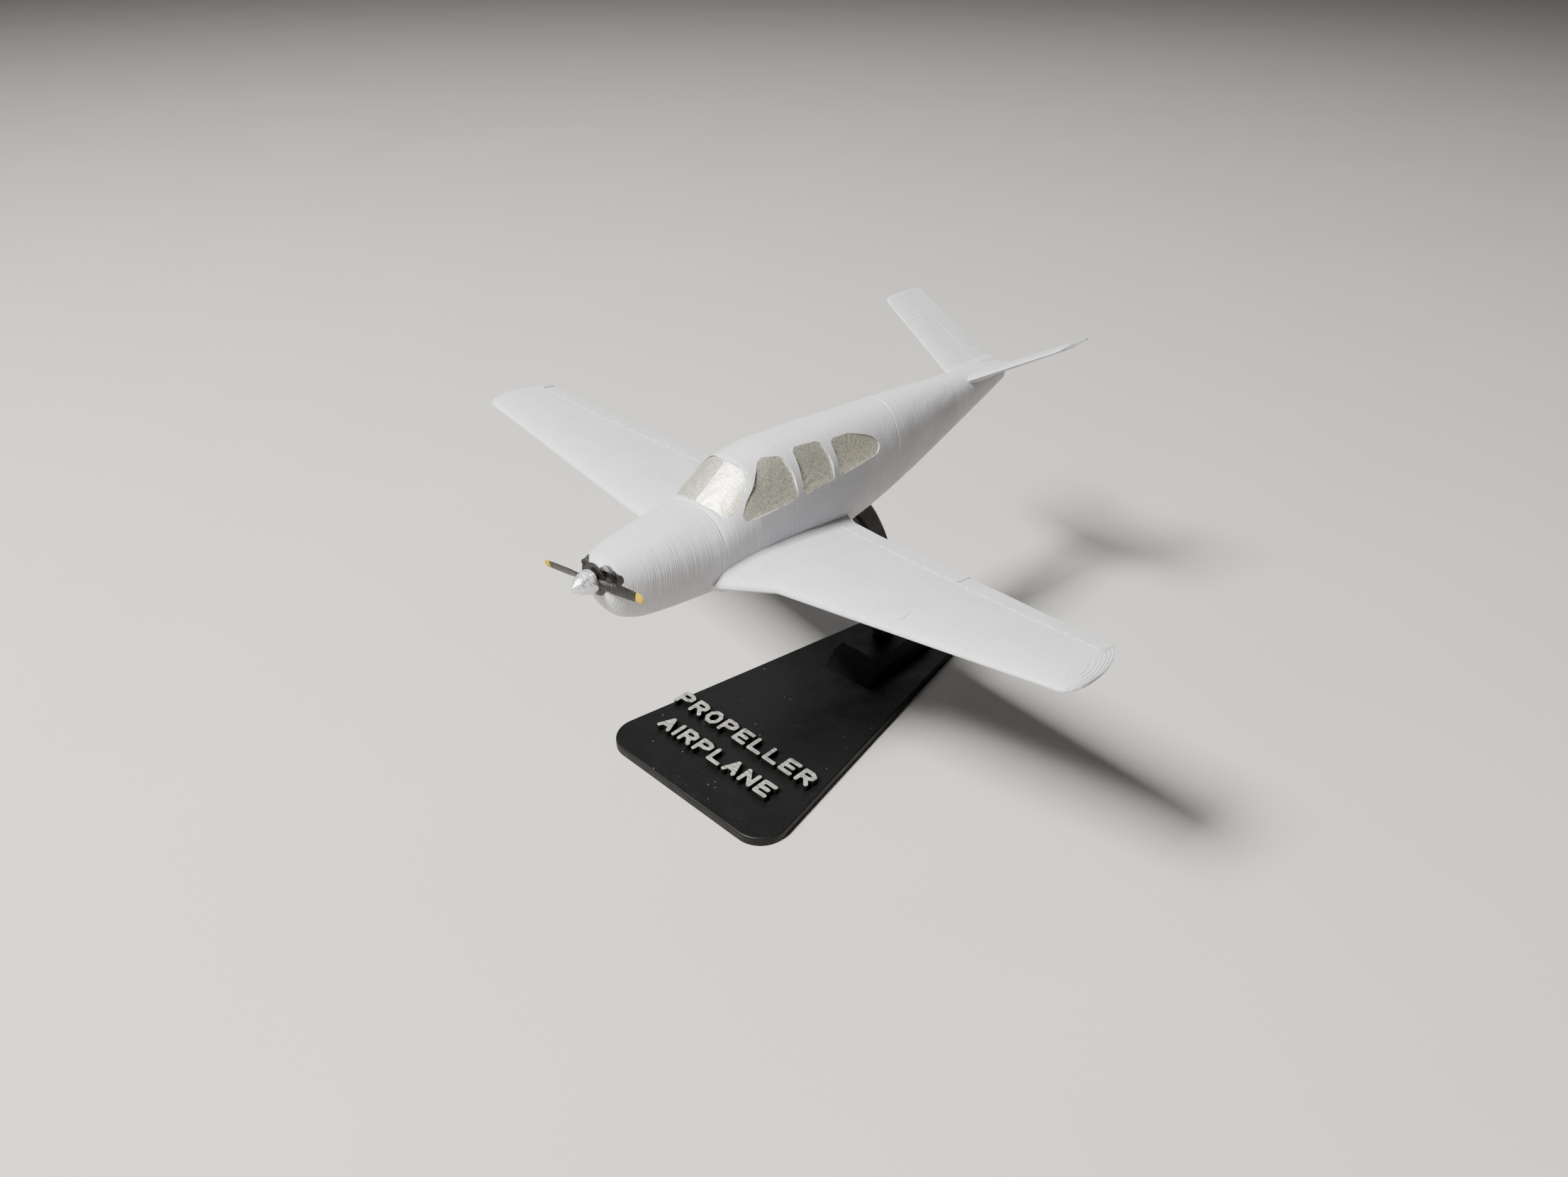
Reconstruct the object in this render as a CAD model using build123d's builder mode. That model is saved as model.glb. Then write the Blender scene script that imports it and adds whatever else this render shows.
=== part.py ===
from build123d import *
import os
from math import atan2, cos, degrees, hypot, pi, radians, sin, tan

# A small printed display model of a V-tailed light aeroplane on a plug-together stand.
# Millimetres, +Z up, nose towards -Y, the aeroplane's left wing towards +X.
# The origin is on the table, under the middle of the wing's plane.

# ---- how the aeroplane sits ----
PITCH = 1.75                # nose-up angle on the stand, degrees
WING_APEX_Z = 49.5          # height above the table where the two wing planes meet

# ---- fuselage: distance aft, half width, top, bottom, height of the widest point ----
COWL = [
    (-43.0, 3.9, 10.5, 3.5, 6.8),
    (-42.2, 4.5, 10.9, 1.7, 6.6),
    (-40.0, 5.4, 11.5, -1.0, 6.3),
    (-35.0, 6.6, 12.3, -2.7, 6.0),
    (-28.0, 7.7, 13.0, -3.1, 5.6),
    (-21.5, 8.5, 13.3, -3.3, 5.5),
]
CABIN = [
    (-13.2, 9.0, 19.4, -3.9, 5.5),
    (-5.0, 8.9, 20.4, -4.2, 5.5),
    (8.0, 8.2, 20.1, -4.0, 5.6),
    (20.0, 7.3, 19.5, -2.7, 6.6),
    (27.0, 6.7, 19.15, -1.2, 7.5),
]
TAIL_CONE = [
    (27.0, 6.7, 19.15, -1.2, 7.5),
    (34.0, 6.0, 18.8, 0.7, 8.5),
    (48.0, 4.5, 17.9, 4.9, 10.8),
    (60.0, 3.1, 17.1, 8.8, 12.8),
    (70.2, 1.7, 16.1, 12.0, 14.1),
]
SQUARENESS = 2.35           # superellipse exponent: 2 is an ellipse, more is boxier
OUTLINE_STEPS = 5           # points from the top of a section to its widest place
DOWEL_R = 0.875             # rods that line up the front and rear fuselage
DOWEL_LENGTH = 10.0
DOWEL_Z = (4.5, 14.0)

# ---- windows: outlines in side view (aft, up) and in front view for the windscreen ----
PANE_RECESS = 0.12
PANE_DEPTH = 0.5            # from the skin to the back of a pane
POST_HALF = 0.35            # half width of the windscreen's middle post
SIDE_WINDOWS = [
    [(-17.5, 11.1), (-10.5, 18.6), (-8.6, 19.2), (-4.9, 18.8), (-3.6, 15.5), (-3.6, 11.1)],
    [(-2.1, 11.1), (-2.0, 16.0), (-1.9, 19.1), (5.3, 18.5), (6.8, 15.0), (6.7, 11.1)],
    [(8.4, 11.3), (8.2, 14.6), (7.8, 18.0), (13.4, 17.6), (18.8, 15.8), (21.6, 13.2), (19.8, 11.8)],
]
SIDE_WINDOW_CORNER_R = 0.7
WINDSCREEN = [
    (POST_HALF, 13.7), (4.5, 13.1), (7.0, 11.6), (6.2, 15.6), (4.9, 18.0), (3.0, 18.9),
    (POST_HALF, 19.25),
]
WINDSCREEN_CORNER_R = 0.4

# ---- wing, per side: distance out, leading edge, trailing edge, thickness ----
DIHEDRAL = 6.3
WING = [
    (6.0, -24.4, 11.2, 4.8),
    (9.0, -23.4, 11.2, 4.6),
    (17.7, -18.5, 9.4, 3.9),
    (68.9, -15.3, 1.0, 2.1),
    (71.3, -14.9, 0.6, 1.5),
    (72.6, -13.2, -3.4, 1.0),
    (73.2, -10.8, -6.6, 0.6),
]
RIB_STEPS = 7
TRAILING_EDGE = 0.36
SPAR_PIN_R = 0.875
SPAR_PIN_LENGTH = 9.0
SPAR_PIN_Y = (-12.0, 0.5)
SPAR_PIN_LIFT = 0.3         # the pins run a little above the chord line

# ---- tail half: distance out, leading edge, trailing edge, thickness ----
TAIL_DIHEDRAL = 30.7
TAIL_APEX_Z = 14.6
TAIL = [
    (1.2, 53.6, 68.6, 1.4),
    (25.6, 55.6, 67.1, 0.9),
]

# ---- nose: stacked along the thrust line ----
THRUST_Z = 7.2
NOSE_RING_R = 2.9
NOSE_RING_THICK = 0.4
HUB_GAP = 0.1               # free gap between the fixed ring and the turning hub
HUB_R = 1.9
HUB_THICK = 0.6
SPINNER_R = 2.15
SPINNER_TIP_Y = -48.2
PROP_R = 13.3
PROP_ANGLE = 9.5            # the left blade stands this far up from level
BLADE_ROOT_CHORD = 1.5
BLADE_CHORD = 1.9
BLADE_TIP_CHORD = 1.3
TIP_LENGTH = 1.6            # length of each blade's coloured end
SHAFT_R = 0.6
SHAFT_IN_SPINNER = 1.8
SHAFT_IN_NOSE = 7.0
RUNNING = 0.05              # clearance all round the foot and the turning shaft
INLET_X = 2.6
INLET_Z = 9.1
INLET_RADII = (1.0, 0.55)
INLET_DEPTH = 1.2
INSERT_THICK = 0.4

# ---- stand ----
PLATE_THICK = 2.0
PLATE_FRONT_Y = -28.4
PLATE_REAR_Y = 55.0
PLATE_HALF_FRONT = 24.4
PLATE_NARROWING = 0.18      # half width lost per unit aft
PLATE_CORNER_R = 6.0
BLOCK_FRONT_Y = 22.0
BLOCK_REAR_Y = 46.0
BLOCK_TOP_Z = 7.3
BLOCK_HALF_BASE = 6.4
BLOCK_HALF_TOP = 5.2
BLOCK_SHOULDER_Z = 5.4
BLOCK_SLOPE = 4.0           # how far the front and rear faces lean in
ARM_WIDTH = 3.4
ARM_THICK = 4.5
ARM_BACK_Y = 36.7
ARM_BACK_R = 52.0           # radius of the arm's rear edge
ARM_BEND_Z = 13.9           # straight below this, curved above
ARM_LEAN = 38.0             # lean of the plug at the top, degrees from upright
ARM_PLUG = 7.5
ARM_EDGE = 0.6
PLUG_GAP = 0.12             # clearance all round the plug in the belly
REST_GAP = 0.1              # left free under the foot and above the plug

# ---- raised title: capital strokes on a unit box, (across, up) ----
LETTER_HEIGHT = 3.2         # between the middles of the top and bottom strokes
LETTER_WIDTH = 2.7          # between the middles of the outer strokes
LETTER_GAP = 0.65
LETTER_RAISE = 1.4
STROKE = 1.1
ROW_CENTRE_X = -0.8
ROWS = [("title_back_row", "PROPELLER", -10.9), ("title_front_row", "AIRPLANE", -18.9)]
BOWL = [(0, 1), (0.65, 1), (1, 0.85), (1, 0.62), (0.65, 0.47), (0, 0.47)]
GLYPHS = {
    "A": [[(0, 0), (0.5, 1), (1, 0)], [(0.2, 0.32), (0.8, 0.32)]],
    "E": [[(1, 1), (0, 1), (0, 0), (1, 0)], [(0, 0.5), (0.8, 0.5)]],
    "I": [[(0, 0), (0, 1)]],
    "L": [[(0, 1), (0, 0), (1, 0)]],
    "N": [[(0, 0), (0, 1), (1, 0), (1, 1)]],
    "O": [[(0.3, 0), (0, 0.3), (0, 0.7), (0.3, 1), (0.7, 1), (1, 0.7), (1, 0.3), (0.7, 0), (0.3, 0)]],
    "P": [[(0, 0), (0, 1)], BOWL],
    "R": [[(0, 0), (0, 1)], BOWL, [(0.5, 0.47), (1, 0)]],
}

# the aeroplane's own frame, pitched nose-up on the stand
AIR = Plane(
    origin=(0, 0, WING_APEX_Z),
    x_dir=(1, 0, 0),
    z_dir=(0, sin(radians(PITCH)), cos(radians(PITCH))),
)
MIDDLE = Plane.YZ


def at(x, y, z):
    """A point given in the aeroplane's frame."""
    return AIR.from_local_coords(Vector(x, y, z))


def station(y):
    """The cross plane at y, facing forward: sketch x is sideways, sketch y is up."""
    return Plane(origin=at(0, y, 0), x_dir=(1, 0, 0), z_dir=AIR.y_dir * -1)


def side_plane(x, z=0.0):
    """A plane facing +X: sketch x is aft, sketch y is up."""
    return Plane(origin=at(x, 0, z), x_dir=AIR.y_dir, z_dir=(1, 0, 0))


# ---- fuselage shapes ----
def half_outline(half_width, top, bottom, mid):
    """Right-hand half of a superellipse section, from its top to its bottom."""
    points = []
    for i in range(2 * OUTLINE_STEPS + 1):
        angle = pi / 2 - pi * i / (2 * OUTLINE_STEPS)
        reach = max(cos(angle), 0.0) ** (2 / SQUARENESS)
        rise = abs(sin(angle)) ** (2 / SQUARENESS)
        height = (top - mid) * rise if i <= OUTLINE_STEPS else (bottom - mid) * rise
        points.append((half_width * reach, mid + height))
    return points


def section(spec, inset=0.0):
    """One fuselage cross-section, pulled in by inset all round."""
    y, half_width, top, bottom, mid = spec
    right = half_outline(half_width - inset, top - inset, bottom + inset, mid)
    left = [(-x, z) for x, z in reversed(right)]
    ring = right[OUTLINE_STEPS:] + left[1:-1] + right[:OUTLINE_STEPS]
    with BuildSketch(station(y)) as sketch:
        with BuildLine():
            Spline(*ring, periodic=True)
        make_face()
    return sketch.sketch


def cabin_shell(inset):
    """Raked windscreen and cabin as one solid, its surface inset from the skin."""
    with BuildPart() as body:
        loft([section(COWL[-1], inset), section(CABIN[0], inset)], ruled=True)
        loft([section(spec, inset) for spec in CABIN])
    return body.part


def outline_prism(points, plane, length, radius):
    """A solid with a rounded outline, running from the plane along its normal."""
    with BuildPart() as prism:
        with BuildSketch(plane) as face:
            with BuildLine():
                Polyline(*points, close=True)
            make_face()
            fillet(face.vertices(), radius)
        extrude(amount=length)
    return prism.part


cabin_skin = cabin_shell(0.0)
pane_face = cabin_shell(PANE_RECESS)
pane_back = cabin_shell(PANE_DEPTH)

prisms = {"windscreen": outline_prism(WINDSCREEN, station(-12.9), 8.8, WINDSCREEN_CORNER_R)}
for number, outline in enumerate(SIDE_WINDOWS, start=1):
    name = f"side_window_{number}"
    prisms[name] = outline_prism(outline, side_plane(2.0), 10.0, SIDE_WINDOW_CORNER_R)

# each pane is a curved inlay let into the skin; its pocket is the same shape, open outwards
pieces = {}
pockets = []
for name, prism in prisms.items():
    with BuildPart() as left_pocket:
        add(prism)
        add(pane_back, mode=Mode.SUBTRACT)
    with BuildPart() as left_pane:
        add(left_pocket.part)
        add(pane_face, mode=Mode.INTERSECT)
    with BuildPart() as right_pocket:
        mirror(left_pocket.part, about=MIDDLE)
    with BuildPart() as right_pane:
        mirror(left_pane.part, about=MIDDLE)
    pockets += [left_pocket.part, right_pocket.part]
    pieces[f"{name}_left"] = left_pane.part
    pieces[f"{name}_right"] = right_pane.part


# ---- wings and tail halves ----
def rib(plane, leading, trailing, thickness):
    """A wing rib: aft along the sketch's x, the upper side more curved than the lower."""
    chord = trailing - leading
    heights = []
    for i in range(RIB_STEPS + 1):
        u = (i / RIB_STEPS) ** 2
        nose = 1.4845 * u ** 0.5 - 0.63 * u - 1.758 * u ** 2 + 1.4215 * u ** 3 - 0.5075 * u ** 4
        heights.append((leading + chord * u, thickness * nose + TRAILING_EDGE / 2 * u))
    upper = [(y, 1.2 * height) for y, height in heights]
    lower = [(y, -0.8 * height) for y, height in heights]
    with BuildSketch(plane) as face:
        with BuildLine():
            Spline(*upper)
            Line(upper[-1], lower[-1])
            Spline(*reversed(lower))
        make_face()
    return face.sketch


with BuildPart() as wing_blank:
    ribs = []
    for reach, leading, trailing, thickness in WING:
        plane = side_plane(reach, reach * tan(radians(DIHEDRAL)))
        ribs.append(rib(plane, leading, trailing, thickness))
    for inner, outer in zip(ribs, ribs[1:]):
        loft([inner, outer], ruled=True)
with BuildPart() as right_wing_blank:
    mirror(wing_blank.part, about=MIDDLE)

# round pins that carry the wings on the fuselage, along each wing's own slope
with BuildPart() as wing_pins:
    for side in (1, -1):
        span_dir = Vector(side * cos(radians(DIHEDRAL)), 0, sin(radians(DIHEDRAL)))
        for pin_y in SPAR_PIN_Y:
            root_x = WING[0][0]
            middle = at(side * root_x, pin_y, root_x * tan(radians(DIHEDRAL)) + SPAR_PIN_LIFT)
            with BuildSketch(Plane(origin=middle, x_dir=AIR.y_dir, z_dir=span_dir)):
                Circle(SPAR_PIN_R)
            extrude(amount=SPAR_PIN_LENGTH / 2, both=True)

with BuildPart() as left_wing:
    add(wing_blank.part)
    add(wing_pins.part, mode=Mode.SUBTRACT)
with BuildPart() as right_wing:
    add(right_wing_blank.part)
    add(wing_pins.part, mode=Mode.SUBTRACT)

tail_span = AIR.x_dir * cos(radians(TAIL_DIHEDRAL)) + AIR.z_dir * sin(radians(TAIL_DIHEDRAL))
with BuildPart() as left_tail:
    ribs = []
    for reach, leading, trailing, thickness in TAIL:
        foot = at(0, 0, TAIL_APEX_Z) + tail_span * reach
        plane = Plane(origin=foot, x_dir=AIR.y_dir, z_dir=tail_span)
        ribs.append(rib(plane, leading, trailing, thickness))
    loft(ribs, ruled=True)
with BuildPart() as right_tail:
    mirror(left_tail.part, about=MIDDLE)

# ---- nose stack, front to back: spinner, propeller hub, fixed ring, cowl face ----
COWL_FACE_Y = COWL[0][0]
RING_FRONT_Y = COWL_FACE_Y - NOSE_RING_THICK
HUB_BACK_Y = RING_FRONT_Y - HUB_GAP
HUB_FRONT_Y = HUB_BACK_Y - HUB_THICK


def round_bar(radius, front, back, across=0.0, up=THRUST_Z):
    """A round bar along the thrust line's direction."""
    with BuildPart() as bar:
        with BuildSketch(station(back)):
            with Locations((across, up)):
                Circle(radius)
        extrude(amount=back - front)
    return bar.part


shaft_rod = round_bar(SHAFT_R, HUB_FRONT_Y - SHAFT_IN_SPINNER, COWL_FACE_Y + SHAFT_IN_NOSE)
shaft_bore = round_bar(SHAFT_R + RUNNING, RING_FRONT_Y - 1.0, COWL_FACE_Y + SHAFT_IN_NOSE + REST_GAP)

with BuildPart() as prop_shaft:
    add(shaft_rod)

with BuildPart() as nose_ring:
    add(round_bar(NOSE_RING_R, RING_FRONT_Y, COWL_FACE_Y))
    add(shaft_bore, mode=Mode.SUBTRACT)

with BuildPart() as spinner:
    with BuildSketch(side_plane(0)):
        with BuildLine():
            rim = (HUB_FRONT_Y, THRUST_Z + SPINNER_R)
            tip = (SPINNER_TIP_Y, THRUST_Z)
            Line((HUB_FRONT_Y, THRUST_Z), rim)
            Bezier(rim, (HUB_FRONT_Y - 2.2, THRUST_Z + 1.7), (SPINNER_TIP_Y, THRUST_Z + 0.9), tip)
            Line(tip, (HUB_FRONT_Y, THRUST_Z))
        make_face()
    revolve(axis=Axis(at(0, 0, THRUST_Z), AIR.y_dir))
    add(shaft_rod, mode=Mode.SUBTRACT)

# both blades as one flat outline, wide in the middle and rounded at the ends
blade_dir = AIR.x_dir * cos(radians(PROP_ANGLE)) + AIR.z_dir * sin(radians(PROP_ANGLE))
prop_plane = Plane(origin=at(0, HUB_BACK_Y, THRUST_Z), x_dir=blade_dir, z_dir=AIR.y_dir * -1)
BLADE_HALF = [
    (HUB_R * 0.5, BLADE_ROOT_CHORD / 2),
    (PROP_R * 0.5, BLADE_CHORD / 2),
    (PROP_R - BLADE_TIP_CHORD / 2, BLADE_TIP_CHORD / 2),
]
with BuildPart() as blades:
    with BuildSketch(prop_plane):
        for side in (1, -1):
            with BuildLine():
                root, widest, end = [(side * x, half) for x, half in BLADE_HALF]
                root_low, widest_low, end_low = [(side * x, -half) for x, half in BLADE_HALF]
                Line(root_low, root)
                ThreePointArc(root, widest, end)
                ThreePointArc(end, (side * PROP_R, 0), end_low)
                ThreePointArc(end_low, widest_low, root_low)
            make_face()
        Circle(HUB_R)
    extrude(amount=HUB_THICK)
with BuildPart() as tip_zone:
    with BuildSketch(prop_plane):
        for side in (1, -1):
            with Locations((side * PROP_R, 0)):
                Rectangle(2 * TIP_LENGTH, 3 * BLADE_CHORD)
    extrude(amount=HUB_THICK)
with BuildPart() as propeller_tips:
    add(blades.part)
    add(tip_zone.part, mode=Mode.INTERSECT)
with BuildPart() as propeller:
    add(blades.part)
    add(tip_zone.part, mode=Mode.SUBTRACT)
    add(shaft_rod, mode=Mode.SUBTRACT)


def inlet_plugs(depth_from, depth_to):
    """Two oval plugs in the cowl face, between two depths behind it."""
    with BuildPart() as plugs:
        with BuildSketch(station(COWL_FACE_Y + depth_to)):
            with Locations((INLET_X, INLET_Z), (-INLET_X, INLET_Z)):
                Ellipse(*INLET_RADII)
        extrude(amount=depth_to - depth_from)
    return plugs.part


with BuildPart() as inlet_inserts:
    add(inlet_plugs(INLET_DEPTH - INSERT_THICK, INLET_DEPTH))

# ---- the stand's arm: upright foot, long arc, straight plug that enters the belly ----
lean = radians(ARM_LEAN)
middle_r = ARM_BACK_R - ARM_THICK / 2
foot = (ARM_BACK_Y - ARM_THICK / 2, PLATE_THICK + REST_GAP)
bend = (foot[0], ARM_BEND_Z)
plug_root = (foot[0] - middle_r * (1 - cos(lean)), ARM_BEND_Z + middle_r * sin(lean))
plug_end = (plug_root[0] - ARM_PLUG * sin(lean), plug_root[1] + ARM_PLUG * cos(lean))
plug_axis = Vector(0, -sin(lean), cos(lean))
plug_plane = Plane(
    origin=(0, plug_end[0], plug_end[1]), x_dir=(0, cos(lean), sin(lean)), z_dir=plug_axis
)
foot_plane = Plane(origin=(0, foot[0], foot[1]), x_dir=(0, 1, 0), z_dir=(0, 0, 1))


def arm_section(plane, gap=0.0):
    """The arm's cross-section, deeper than it is wide, with broken edges."""
    with BuildSketch(plane) as face:
        Rectangle(ARM_THICK + 2 * gap, ARM_WIDTH + 2 * gap)
        chamfer(face.vertices(), ARM_EDGE)
    return face.sketch


with BuildPart() as arm:
    with BuildLine(MIDDLE) as spine:
        Line(foot, bend)
        middle_angle = lean / 2
        crown = (
            foot[0] - middle_r * (1 - cos(middle_angle)),
            ARM_BEND_Z + middle_r * sin(middle_angle),
        )
        ThreePointArc(bend, crown, plug_root)
        Line(plug_root, plug_end)
    sweep(sections=arm_section(foot_plane), path=spine.line)

with BuildPart() as belly_pocket:
    mouth = arm_section(plug_plane.offset(-2 * ARM_PLUG), PLUG_GAP)
    extrude(mouth, amount=2 * ARM_PLUG + REST_GAP)

# ---- fuselage prints ----
with BuildPart() as dowels:
    for up in DOWEL_Z:
        middle_y = TAIL_CONE[0][0]
        add(round_bar(DOWEL_R, middle_y - DOWEL_LENGTH / 2, middle_y + DOWEL_LENGTH / 2, 0, up))

with BuildPart() as fuselage_front:
    loft([section(spec) for spec in COWL])
    add(cabin_skin)
    cutters = pockets + [wing_blank.part, right_wing_blank.part, wing_pins.part, dowels.part]
    cutters += [shaft_bore, inlet_plugs(-1.0, INLET_DEPTH), belly_pocket.part]
    for cutter in cutters:
        add(cutter, mode=Mode.SUBTRACT)

with BuildPart() as fuselage_rear:
    loft([section(spec) for spec in TAIL_CONE])
    for cutter in (left_tail.part, right_tail.part, dowels.part):
        add(cutter, mode=Mode.SUBTRACT)

# ---- stand: tapered plate, sloped block with a socket, raised title ----
plate_half_rear = PLATE_HALF_FRONT - PLATE_NARROWING * (PLATE_REAR_Y - PLATE_FRONT_Y)
with BuildPart() as base_plate:
    with BuildSketch() as outline:
        with BuildLine():
            Polyline(
                (-PLATE_HALF_FRONT, PLATE_FRONT_Y),
                (PLATE_HALF_FRONT, PLATE_FRONT_Y),
                (plate_half_rear, PLATE_REAR_Y),
                (-plate_half_rear, PLATE_REAR_Y),
                close=True,
            )
        make_face()
        fillet(outline.vertices(), PLATE_CORNER_R)
    extrude(amount=PLATE_THICK)

with BuildPart() as socket_block:
    with BuildSketch(Plane.XZ.offset(-BLOCK_REAR_Y)):
        with BuildLine():
            Polyline(
                (-BLOCK_HALF_BASE, PLATE_THICK),
                (BLOCK_HALF_BASE, PLATE_THICK),
                (BLOCK_HALF_BASE, BLOCK_SHOULDER_Z),
                (BLOCK_HALF_TOP, BLOCK_TOP_Z),
                (-BLOCK_HALF_TOP, BLOCK_TOP_Z),
                (-BLOCK_HALF_BASE, BLOCK_SHOULDER_Z),
                close=True,
            )
        make_face()
    extrude(amount=BLOCK_REAR_Y - BLOCK_FRONT_Y)
    with BuildSketch(MIDDLE):
        with BuildLine():
            Polyline(
                (BLOCK_FRONT_Y, PLATE_THICK),
                (BLOCK_REAR_Y, PLATE_THICK),
                (BLOCK_REAR_Y - BLOCK_SLOPE, BLOCK_TOP_Z),
                (BLOCK_FRONT_Y + BLOCK_SLOPE, BLOCK_TOP_Z),
                close=True,
            )
        make_face()
    extrude(amount=2 * BLOCK_HALF_BASE, both=True, mode=Mode.INTERSECT)
    socket = arm_section(foot_plane.offset(-REST_GAP), RUNNING)
    extrude(socket, amount=BLOCK_TOP_Z, mode=Mode.SUBTRACT)


def glyph_width(glyph):
    """Width between the middles of a capital's outer strokes."""
    return LETTER_WIDTH * max(u for stroke in GLYPHS[glyph] for u, v in stroke)


def letter(glyph, left, bottom):
    """Round-ended strokes of one capital, its box at (left, bottom)."""
    for stroke in GLYPHS[glyph]:
        points = [(left + LETTER_WIDTH * u, bottom + LETTER_HEIGHT * v) for u, v in stroke]
        for (x0, y0), (x1, y1) in zip(points, points[1:]):
            with Locations(((x0 + x1) / 2, (y0 + y1) / 2)):
                turn = degrees(atan2(y1 - y0, x1 - x0))
                SlotCenterToCenter(hypot(x1 - x0, y1 - y0), STROKE, rotation=turn)


for name, text, bottom in ROWS:
    with BuildPart() as row:
        with BuildSketch(Plane.XY.offset(PLATE_THICK)):
            widths = [glyph_width(glyph) for glyph in text]
            row_width = sum(widths) + (STROKE + LETTER_GAP) * (len(text) - 1)
            left = ROW_CENTRE_X - row_width / 2
            for glyph, width in zip(text, widths):
                letter(glyph, left, bottom)
                left += width + STROKE + LETTER_GAP
        extrude(amount=LETTER_RAISE)
    pieces[name] = row.part

pieces.update(
    fuselage_front=fuselage_front.part,
    fuselage_rear=fuselage_rear.part,
    fuselage_dowels=dowels.part,
    left_wing=left_wing.part,
    right_wing=right_wing.part,
    wing_pins=wing_pins.part,
    left_tail=left_tail.part,
    right_tail=right_tail.part,
    inlet_inserts=inlet_inserts.part,
    nose_ring=nose_ring.part,
    prop_shaft=prop_shaft.part,
    spinner=spinner.part,
    propeller=propeller.part,
    propeller_tips=propeller_tips.part,
    arm=arm.part,
    base_plate=base_plate.part,
    socket_block=socket_block.part,
)

os.makedirs("parts", exist_ok=True)
for name, piece in pieces.items():
    piece.label = name
    export_step(piece, f"parts/{name}.step")
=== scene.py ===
"""Looks of a small printed and brush-painted display aeroplane, plugged onto its black stand.

Sizes are in millimetres in the classes below and become metres when a mesh is made.  The aeroplane's
parts are worked out in its own level frame (x to the left wing, y aft, z up from the point where the
wing planes meet), then pitched and lifted onto the stand.
"""
import logging
import math
from dataclasses import dataclass, field
from enum import Enum
from typing import Callable, Optional, Sequence

import bpy
import numpy as np
from mathutils import Matrix, Vector


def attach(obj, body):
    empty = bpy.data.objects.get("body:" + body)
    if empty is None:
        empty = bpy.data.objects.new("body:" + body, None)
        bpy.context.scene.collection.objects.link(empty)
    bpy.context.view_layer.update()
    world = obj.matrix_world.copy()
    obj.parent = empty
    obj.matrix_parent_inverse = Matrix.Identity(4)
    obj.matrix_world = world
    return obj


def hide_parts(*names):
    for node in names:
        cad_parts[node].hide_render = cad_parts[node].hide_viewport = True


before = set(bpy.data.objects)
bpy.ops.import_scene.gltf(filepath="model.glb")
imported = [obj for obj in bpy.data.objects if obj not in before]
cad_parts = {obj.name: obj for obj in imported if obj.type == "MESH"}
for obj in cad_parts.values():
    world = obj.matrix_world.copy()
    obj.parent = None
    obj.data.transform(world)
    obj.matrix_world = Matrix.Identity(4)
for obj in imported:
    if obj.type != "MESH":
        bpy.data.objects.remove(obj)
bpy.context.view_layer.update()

Array = np.ndarray
MM = 0.001
log = logging.getLogger("display_plane")


class Side(Enum):
    """Which half of the aeroplane a piece belongs to."""

    LEFT = 1
    RIGHT = -1


class StrokeRun(Enum):
    """The direction across which brush strokes and print layers repeat."""

    ALONG_BODY = "y"
    ALONG_SPAN = "x"


# ---------------------------------------------------------------- numbers on grids
def smooth_through(knots: Array, values: Array, at: Array) -> Array:
    """Smooth curve through a table that never overshoots it.

    Formula: a cubic Hermite curve whose slope at a knot is the weighted harmonic mean of the slopes
    on both sides, or zero where these change sign.

    Args:
        knots: Rising positions, shape (k,).
        values: Table rows, shape (k, c).
        at: Positions asked for, any shape.

    Returns:
        Values at those positions, shape (*at.shape, c).
    """
    gap = np.diff(knots)[:, None]
    rise = np.diff(values, axis=0) / gap
    before, after = rise[:-1], rise[1:]
    same = before * after > 0
    near, far = 2 * gap[1:] + gap[:-1], gap[1:] + 2 * gap[:-1]
    safe_before, safe_after = np.where(same, before, 1.0), np.where(same, after, 1.0)
    mean = (near + far) / (near / safe_before + far / safe_after)
    slope = np.concatenate([rise[:1], np.where(same, mean, 0.0), rise[-1:]])
    cell = np.clip(np.searchsorted(knots, at, side="right") - 1, 0, len(knots) - 2)
    t = ((at - knots[cell]) / gap[cell, 0])[..., None]
    h = gap[cell]
    start, end = values[cell], values[cell + 1]
    return (
        (2 * t**3 - 3 * t**2 + 1) * start
        + (t**3 - 2 * t**2 + t) * h * slope[cell]
        + (3 * t**2 - 2 * t**3) * end
        + (t**3 - t**2) * h * slope[cell + 1]
    )


def ease(value: Array, low: float, high: float) -> Array:
    """Smooth step from 0 at low to 1 at high: 3t squared minus 2t cubed."""
    t = np.clip((value - low) / (high - low), 0.0, 1.0)
    return t * t * (3 - 2 * t)


def bell(value: Array, width: float) -> Array:
    """Bell curve of height 1 about zero: e to the minus (value over width) squared."""
    return np.exp(-((value / width) ** 2))


def ripple(points: Array, wavelength: float, seed: int) -> Array:
    """Smooth unevenness of about -1 to 1.

    Formula: twelve sine waves with seeded directions, lengths and phases, added and divided by the
    square root of six.

    Args:
        points: Positions, shape (..., dimensions).
        wavelength: Typical distance between two crests.
        seed: Seed of the waves.

    Returns:
        One value for each position.
    """
    rng = np.random.default_rng(seed)
    heading = rng.normal(size=(12, points.shape[-1]))
    heading /= np.linalg.norm(heading, axis=1, keepdims=True)
    length = wavelength * rng.uniform(0.6, 1.7, 12)
    phase = rng.uniform(0, 2 * math.pi, 12)
    waves = np.sin(points @ (heading.T * 2 * math.pi / length) + phase)
    return np.clip(waves.sum(-1) / math.sqrt(6), -1.5, 1.5)


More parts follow.
